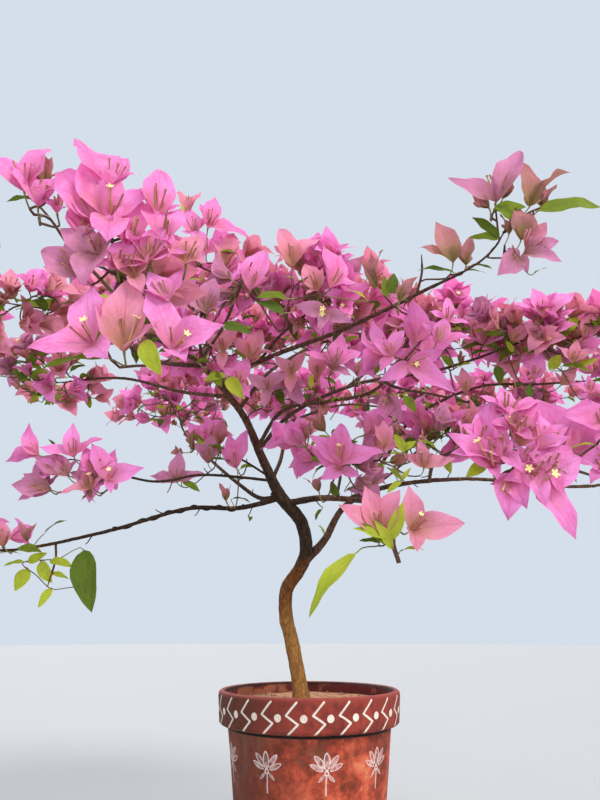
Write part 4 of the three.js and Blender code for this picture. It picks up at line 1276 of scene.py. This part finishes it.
def add_seen_head(crown, head, dice):
    """A head whose bracts reach the tips that the picture shows."""
    outs = []
    for chord, turned in head.bracts:
        reach = np.linalg.norm(chord)
        facing = unit(head.axis + NEARER * (dice.uniform(0.05, 0.55) if turned is None else turned))
        along = facing.dot(chord) / reach
        flat = chord - facing * facing.dot(chord)
        out = unit(flat) if np.linalg.norm(flat) > 0.002 else across_any(facing, dice)
        outs.append(out)
        lean = math.degrees(math.acos(max(-1, min(1, along))))
        recurve = min(lean, 45) * dice.uniform(0.4, 0.9)
        curl = dice.uniform(0, 45)
        sunk = curl * 0.06
        crown.bracts[head.tint].append(sheet(
            dice, foot=head.foot, axis=facing, out=out, length=reach * 1.04,
            width=min(reach * head.broad, BROADEST) * dice.uniform(0.9, 1.1),
            start=lean - recurve / 2 - sunk, end=lean + recurve / 2 - sunk, curl=curl,
            fold=dice.uniform(26, 46), spread=dice.uniform(-20, 16), ripple=dice.uniform(0.03, 0.07)))
    size = min(np.linalg.norm(head.bracts[0][0]), 0.055)
    if head.tint != "young":
        add_tubes(crown, head.foot, head.axis, size, outs, 0.1, head.stars, dice)


def add_seen_leaf(crown, leaf, wood, dice):
    """A leaf that the picture shows, stalked from the nearest wood."""
    shade, foot, tip, half, facing = leaf
    root = seen_at(*foot)
    chord = seen_at(*tip[:2], foot[2] - tip[2]) - root
    near = wood[np.argmin(np.linalg.norm(wood - root, axis=1))]
    stalk = bow(near, unit(root - near), root, unit(chord), len(SEEN_LEAF_STALK))
    crown.stalks.append((stalk, SEEN_LEAF_STALK))
    up = UP * (1 - facing) + NEARER * facing
    up = unit(up - unit(chord) * unit(chord).dot(up))
    arch = dice.uniform(8, 30) + 24 * (1 - facing)
    reach = np.linalg.norm(chord) * 1.02
    crown.leaves[shade].append(sheet(
        dice, foot=root, axis=up, out=unit(chord), length=reach, width=reach * half,
        start=90 - arch / 2, end=90 + arch / 2, curl=dice.uniform(-6, 14), fold=dice.uniform(6, 24),
        spread=dice.uniform(0, 10), ripple=0.03))


def add_spray(crown, tip, heading, outward, mass, dice):
    """The end of a twig: one to three heads on their stalks, with leaves and a young head or two."""
    _, _, shares, leafy, scale = mass
    tint = dice.choices(TINTS, shares)[0]
    for _ in range(dice.choice((1, 2, 3, 3))):
        lean = across_any(heading, dice)
        way = unit(heading * 0.5 + lean * dice.uniform(0.5, 1.0) + outward * 0.35 + UP * 0.25)
        foot = tip + way * dice.uniform(*STALK_LENGTH)
        young = tint == "young" or dice.random() < 0.12
        size = dice.uniform(*(YOUNG_LENGTH if young else BRACT_LENGTH))
        openness = dice.uniform(0, 0.25) if young else dice.uniform(0.35, 1)
        axis = unit(way * 0.7 + outward * 0.45 + UP * 0.3 + across_any(way, dice) * 0.25)
        foot = foot - UP * max(0, foot[2] + axis[2] * size * scale - HIGHEST * MM)
        crown.stalks.append((bow(tip, heading, foot, axis, len(HEAD_STALK)), HEAD_STALK))
        add_head(crown, foot, axis, size * scale, openness, "young" if young else tint, dice)
    for _ in range(int(leafy * dice.uniform(0.3, 2.4) + 0.4)):
        way = unit(across_any(heading, dice) + heading * 0.3 + outward * 0.2)
        foot = tip - heading * dice.uniform(0, 0.03)
        add_leaf(crown, foot, way, dice.uniform(*LEAF_LENGTH["spray"]), dice)


def pick_goals(name, region, taken, dice):
    """Seeded places near the outside of a mass, kept apart from each other and from the taken ones, and
    behind the heads that the picture shows."""
    middle, count = MASSES[name][:2]
    goals, room = [], SPRAY_GAP
    top = middle[2] + 14 if taken else 2000
    left, right, low, high = ROOM.get(name, (-1000, 1000, 0, top))
    behind = HEAD_DEPTHS[name] + 20 if taken else -1000
    while len(goals) < count and room > LEAST_GAP:
        for _ in range(400):
            place = np.array([dice.uniform(a, b) for a, b in zip(region.low, region.high)])
            x, y, z = place / MM
            near_outside = SPRAY_DEPTH[0] < region.depth(place) < SPRAY_DEPTH[1]
            if not (near_outside and left < x < right and y > behind and low < z < high):
                continue
            if all(np.linalg.norm(place - other) > room for other in goals + taken):
                goals.append(place)
                if len(goals) == count:
                    break
        room *= 0.85
    return goals


def wood_nodes(crown, name, route, region=None):
    """The wood before its twigs grow: the bough, or its end in a mass, and the twigs that the picture
    shows."""
    nodes = []
    for share in np.linspace(0, 1, 60):
        place = route.at(share)
        if region is None or region.depth(place) > -0.03 or (name in HEADS and share > 0.12):
            nodes.append(Node(place, route.heading(share)))
    for points, thick, thin in TWIGS.get(name, ()):
        first = seen_at(*points[0])
        node = min(nodes, key=lambda one: np.linalg.norm(one.place - first))
        line = smooth_route([node.place / MM] + [seen_at(*point) / MM for point in points])
        count = max(8, int(line.length / SEEN_TWIG_STEP))
        share = np.linspace(0, 1, count)
        crown.twigs.append((line.at(share), np.linspace(thick, thin, count) * MM))
        for step in share[2::2]:
            node = Node(line.at(step), line.heading(step), before=node)
            nodes.append(node)
    return nodes


def head_goals(name, start, dice):
    """For each head that the picture shows: where its twig ends, which way it arrives, and the head."""
    goals = []
    for numbers in HEADS.get(name, ()):
        head = SeenHead(name, *numbers)
        way = unit(head.axis + unit(head.foot - start) * 0.8 + UP * 0.2)
        goals.append((head.foot - way * dice.uniform(0.011, 0.016), way, head))
    return goals


def run_twig(nodes, goal, way, middle, dice):
    """A twig from the nearest wood to a goal; it becomes wood that others can start from."""
    def cost(node):
        step = goal - node.place
        gap = np.linalg.norm(step)
        turn = 1 - node.heading.dot(step / max(gap, 1e-6))
        return gap * (1 + 0.35 * turn) + 0.3 * node.run

    node = first = min(nodes, key=cost)
    step = goal - first.place
    gap = np.linalg.norm(step)
    leave = unit(first.heading * 0.5 + unit(step) * 0.7 + across_any(first.heading, dice) * 0.15)
    arrive = unit(unit(step) * 0.8 + UP * 0.5 + unit(goal - middle) * 0.3)
    arrive = arrive if way is None else unit(way + unit(step) * 0.4)
    count = max(4, int(gap / TWIG_STEP) + 2)
    places = bow(first.place, leave, goal, arrive, count)
    for n in range(1, count - 1):
        places[n] += across_any(arrive, dice) * dice.uniform(0, 0.0013)
    marks = [first]
    for n in range(1, count):
        if n % 3 == 2 or n == count - 1:
            ahead = unit(places[n] - places[n - 1])
            node = Node(places[n], ahead, first.run + gap * n / (count - 1), node)
            nodes.append(node)
        marks.append(node)
    while node:
        node.load += 1
        node = node.before
    return places, marks, arrive


def grow_twigs(crown, name, nodes, goals, middle, dice):
    """Twigs to all goals, the nearest first, with the known head or a spray at the end of each, and then
    the leaves that the picture shows."""
    goals.sort(key=lambda goal: np.linalg.norm(goal[0] - nodes[0].place))
    twigs = [(*run_twig(nodes, goal, way, middle, dice), head) for goal, way, head in goals]
    for places, marks, arrive, head in twigs:
        load = np.array([mark.load for mark in marks], float)
        load[0] = load[1]
        crown.twigs.append((places, (TWIG_RADIUS + TWIG_GAIN * np.sqrt(load)) * MM))
        if head:
            stalk = bow(places[-1], arrive, head.foot, head.axis, len(HEAD_STALK))
            crown.stalks.append((stalk, HEAD_STALK))
            add_seen_head(crown, head, dice)
            continue
        outward = unit(places[-1] - middle + UP * 0.02)
        add_spray(crown, places[-1], arrive, outward, MASSES[name], dice)
        leafy = MASSES[name][3]
        for place, ahead in zip(places[1:-1], places[2:]):
            if dice.random() < 0.09 * leafy:
                way = unit(across_any(unit(ahead - place), dice) + UP * 0.2)
                add_leaf(crown, place, way, dice.uniform(*LEAF_LENGTH["twig"]), dice)
    wood = np.array([node.place for node in nodes])
    for leaf in LEAVES.get(name, ()):
        add_seen_leaf(crown, leaf, wood, dice)


def grow_mass(crown, name, route, dice):
    """Twigs run from the bough to the feet of the heads that the picture shows and to seeded places in
    the mass, each from the nearest wood that is already there."""
    region = Region(f"{name}_mass")
    nodes = wood_nodes(crown, name, route, region)
    goals = head_goals(name, nodes[0].place, dice)
    for place in pick_goals(name, region, [goal[0] for goal in goals], dice):
        goals.append((place, None, None))
    grow_twigs(crown, name, nodes, goals, np.array(MASSES[name][0]) * MM, dice)


def grow_spurs(crown, name, route, dice):
    """Short side twigs, some with a leaf, along the bare part of a bough."""
    along = 0.05
    while along < route.length * 0.72:
        share = along / route.length
        heading = route.heading(share)
        way = unit(across_any(heading, dice) + heading * 0.6 + UP * 0.3)
        start = route.at(share)
        tip = start + way * (radii_along(name, share) + dice.uniform(0.004, 0.022))
        crown.twigs.append((bow(start, way, tip, unit(way + UP * 0.5), 5), np.linspace(0.0012, 0.0007, 5)))
        if dice.random() < 0.22:
            out = unit(across_any(way, dice) + way * 0.6)
            add_leaf(crown, tip, out, dice.uniform(*LEAF_LENGTH["spur"]), dice)
        along += dice.uniform(0.03, 0.12)


def grow_crown(routes):
    """Everything on the boughs. Each limb has dice of its own, so a change to one leaves the others."""
    crown = Crown()
    for n, (name, limb) in enumerate(LIMBS.items()):
        dice = random.Random(FIRST_SEED + n)
        if isinstance(limb[2], str):
            grow_mass(crown, limb[2], routes[name], dice)
        elif name in HEADS:
            nodes = wood_nodes(crown, name, routes[name])
            goals = head_goals(name, nodes[0].place, dice)
            grow_twigs(crown, name, nodes, goals, routes[name].at(0.5), dice)
        grow_spurs(crown, name, routes[name], dice)
    return crown


# Meshes of the crown


def flat_grid(columns, ranks):
    """One small grid: how far to the side each vertex lies (-1 to 1), how far along (0 to 1), and the
    quads between them."""
    grid = bmesh.new()
    bmesh.ops.create_grid(grid, x_segments=columns, y_segments=ranks, size=0.5)
    grid.verts.index_update()
    s = np.array([vert.co.x * 2 for vert in grid.verts])
    t = np.array([vert.co.y + 0.5 for vert in grid.verts])
    t = (t + t * t * (3 - 2 * t)) / 2  # finer near the foot and the tip
    quads = np.array([[vert.index for vert in face.verts] for face in grid.faces])
    grid.free()
    return s, t, quads


def sheet_mesh(name, rows, outline, columns, ranks):
    """Bends one small grid into every leaf or bract of a kind and joins them. outline gives the half
    width at each share of the length, as a share of the widest."""
    s, t, quads = flat_grid(columns, ranks)

    def column(key):
        return np.array([row[key] for row in rows], float)

    def angles(key):
        return np.radians(column(key))[:, None]

    foot, axis, out = column("foot"), column("axis"), column("out")
    length, width = column("length")[:, None], column("width")[:, None]
    start, end, curl, fold, spread = (angles(key) for key in ("start", "end", "curl", "fold", "spread"))

    # the midrib: it leans from start to end, and near the tip it curls
    steps = 40
    fine = np.linspace(0, 1, steps + 1)
    ease = fine * fine * (3 - 2 * fine)
    lean = start + (end - start) * ease + curl * np.clip((fine - 0.62) / 0.38, 0, 1) ** 2
    nothing = np.zeros((len(rows), 1))
    rise = np.concatenate([nothing, np.cumsum(np.cos(lean[:, :-1]), 1)], 1) / steps * length
    run = np.concatenate([nothing, np.cumsum(np.sin(lean[:, :-1]), 1)], 1) / steps * length
    pick = np.clip((t * steps).round().astype(int), 0, steps)
    rise, run, lean = rise[:, pick], run[:, pick], lean[:, pick]

    # the blade: folded along the midrib, rippled at its edges
    half = width * outline(t)
    bend = fold + (spread - fold) * t
    side = s * np.cos(bend) * half
    lift = (0.6 * np.abs(s) + 0.4 * s * s) * np.sin(bend) * half
    wave = np.sin(math.tau * (1.7 * t + 0.35 * np.sign(s) + column("phase")[:, None]))
    lift = lift + wave * s * s * column("ripple")[:, None] * length * np.sin(math.pi * t)
    inwards = np.sin(lean)[:, :, None] * axis[:, None] - np.cos(lean)[:, :, None] * out[:, None]
    across = np.cross(axis, out)[:, None]
    places = (foot[:, None] + rise[:, :, None] * axis[:, None] + run[:, :, None] * out[:, None]
              + side[:, :, None] * across + lift[:, :, None] * inwards)
    faces = (quads[None] + (np.arange(len(rows)) * len(s))[:, None, None]).reshape(-1, 4)
    mesh = bpy.data.meshes.new(name)
    mesh.from_pydata(places.reshape(-1, 3), [], faces)

    # the map: each sheet in its own tile, a little inside its edges
    tile = column("tile").astype(int)[:, None]
    u = (tile % TILES + 0.02 + 0.96 * (s + 1) / 2) / TILES
    v = (tile // TILES + 0.02 + 0.96 * t) / TILES
    uv = np.stack([u, v], -1).reshape(-1, 2)
    mesh.uv_layers.new(name="OFBake").data.foreach_set("uv", uv[faces.ravel()].astype(np.float32).ravel())
    return mesh


def bract_outline(t):
    """Broad and round below the middle, drawn out to a sharp point."""
    return np.interp(t, (0, 0.07, 0.16, 0.28, 0.4, 0.55, 0.7, 0.84, 0.94, 1),
                     (0.15, 0.5, 0.79, 0.98, 1, 0.86, 0.61, 0.32, 0.12, 0.012))


def leaf_outline(t):
    """Broadest below the middle, and pointed."""
    return t ** 0.62 * (1 - t) / 0.42 + 0.012


def star_mesh(stars):
    """Five-lobed mouths of the open tube flowers."""
    shape = bmesh.new()
    lobes = (0.42, 0.8, 1.0, 0.8) * 5
    for place, axis, size, turn in stars:
        first = unit(np.cross(axis, (0.3, 0.5, 0.81)))
        second = np.cross(axis, first)
        middle = shape.verts.new(place + axis * 0.0002)
        ring = []
        for n, lobe in enumerate(lobes):
            angle = math.tau * (n / len(lobes) + turn)
            flat = (first * math.cos(angle) + second * math.sin(angle)) * size * lobe
            ring.append(shape.verts.new(place + flat + axis * (0.0006 + 0.0009 * (lobe > 0.9))))
        for one, other in zip(ring, ring[1:] + ring[:1]):
            shape.faces.new((middle, one, other))
    return made_mesh("stars", shape)


def make_crown(crown):
    """The meshes of the crown, each kind apart. The first bracts stand for all masses but the one that
    is leaves alone."""
    replaced = [f"{name}_mass" for name in MASSES if name != "left_hanging"]
    for tint, rows in crown.bracts.items():
        paper = thin_sheet(f"{tint} bracts", BRACT_COLOURS[tint], veins=7, relief=0.0009)
        for start in range(0, len(rows), SHEETS_IN_A_PIECE):
            piece = f"{tint}_bracts_{start // SHEETS_IN_A_PIECE + 1}"
            batch = rows[start:start + SHEETS_IN_A_PIECE]
            mesh = sheet_mesh(piece, batch, bract_outline, columns=6, ranks=9)
            add_piece(piece, mesh, paper, replaced)
            replaced = []
    for shade, rows in crown.leaves.items():
        piece = f"{shade}_leaves"
        green = thin_sheet(f"{shade} leaves", LEAF_COLOURS[shade], veins=8, relief=0.0005)
        mesh = sheet_mesh(piece, rows, leaf_outline, columns=4, ranks=9)
        replaced = ["left_hanging_mass"] if shade == "fresh" else []
        add_piece(piece, mesh, green, replaced)
    add_piece("twigs", rods(crown.twigs, 6), fine_coat("twig bark"))
    add_piece("stalks", rods(crown.stalks, 4), fine_coat("green stalks"))
    for kind, runs in crown.tubes.items():
        add_piece(f"{kind}_tube_flowers", rods(runs, 6), fine_coat(f"{kind} tube flowers"))
    add_piece("star_flowers", star_mesh(crown.stars), fine_coat("cream stars"))


# Floor, sky and light


def make_stage():
    """A wide pale floor, a pale sky and three soft lights."""
    shape = bmesh.new()
    bmesh.ops.create_circle(shape, cap_ends=True, segments=96, radius=FLOOR_RADIUS)
    mesh = made_mesh("floor", shape)
    floor = bpy.data.objects.new("floor", mesh)
    paint = Paint("pale floor", Roughness=0.9)
    shade = paint.mix(paint.noise(2), (0.31, 0.32, 0.33), (0.33, 0.335, 0.345))
    paint.feed(paint.shader, {"Base Color": shade})
    mesh.materials.append(paint.material)
    bpy.context.scene.collection.objects.link(floor)

    world = bpy.data.worlds.new("pale room")
    world.use_nodes = True
    sky = world.node_tree.nodes["Background"]
    sky.inputs["Color"].default_value = SKY
    sky.inputs["Strength"].default_value = SKY_STRENGTH
    bpy.context.scene.world = world
    for name, light in LIGHTS.items():
        soft_light(name, *light)
    bpy.context.scene.view_settings.view_transform = "Standard"


place_camera()
make_stage()
make_pot(painted_clay())
make_soil(garden_soil())
all_routes = limb_routes()
make_wood(bark(), all_routes)
make_crown(grow_crown(all_routes))
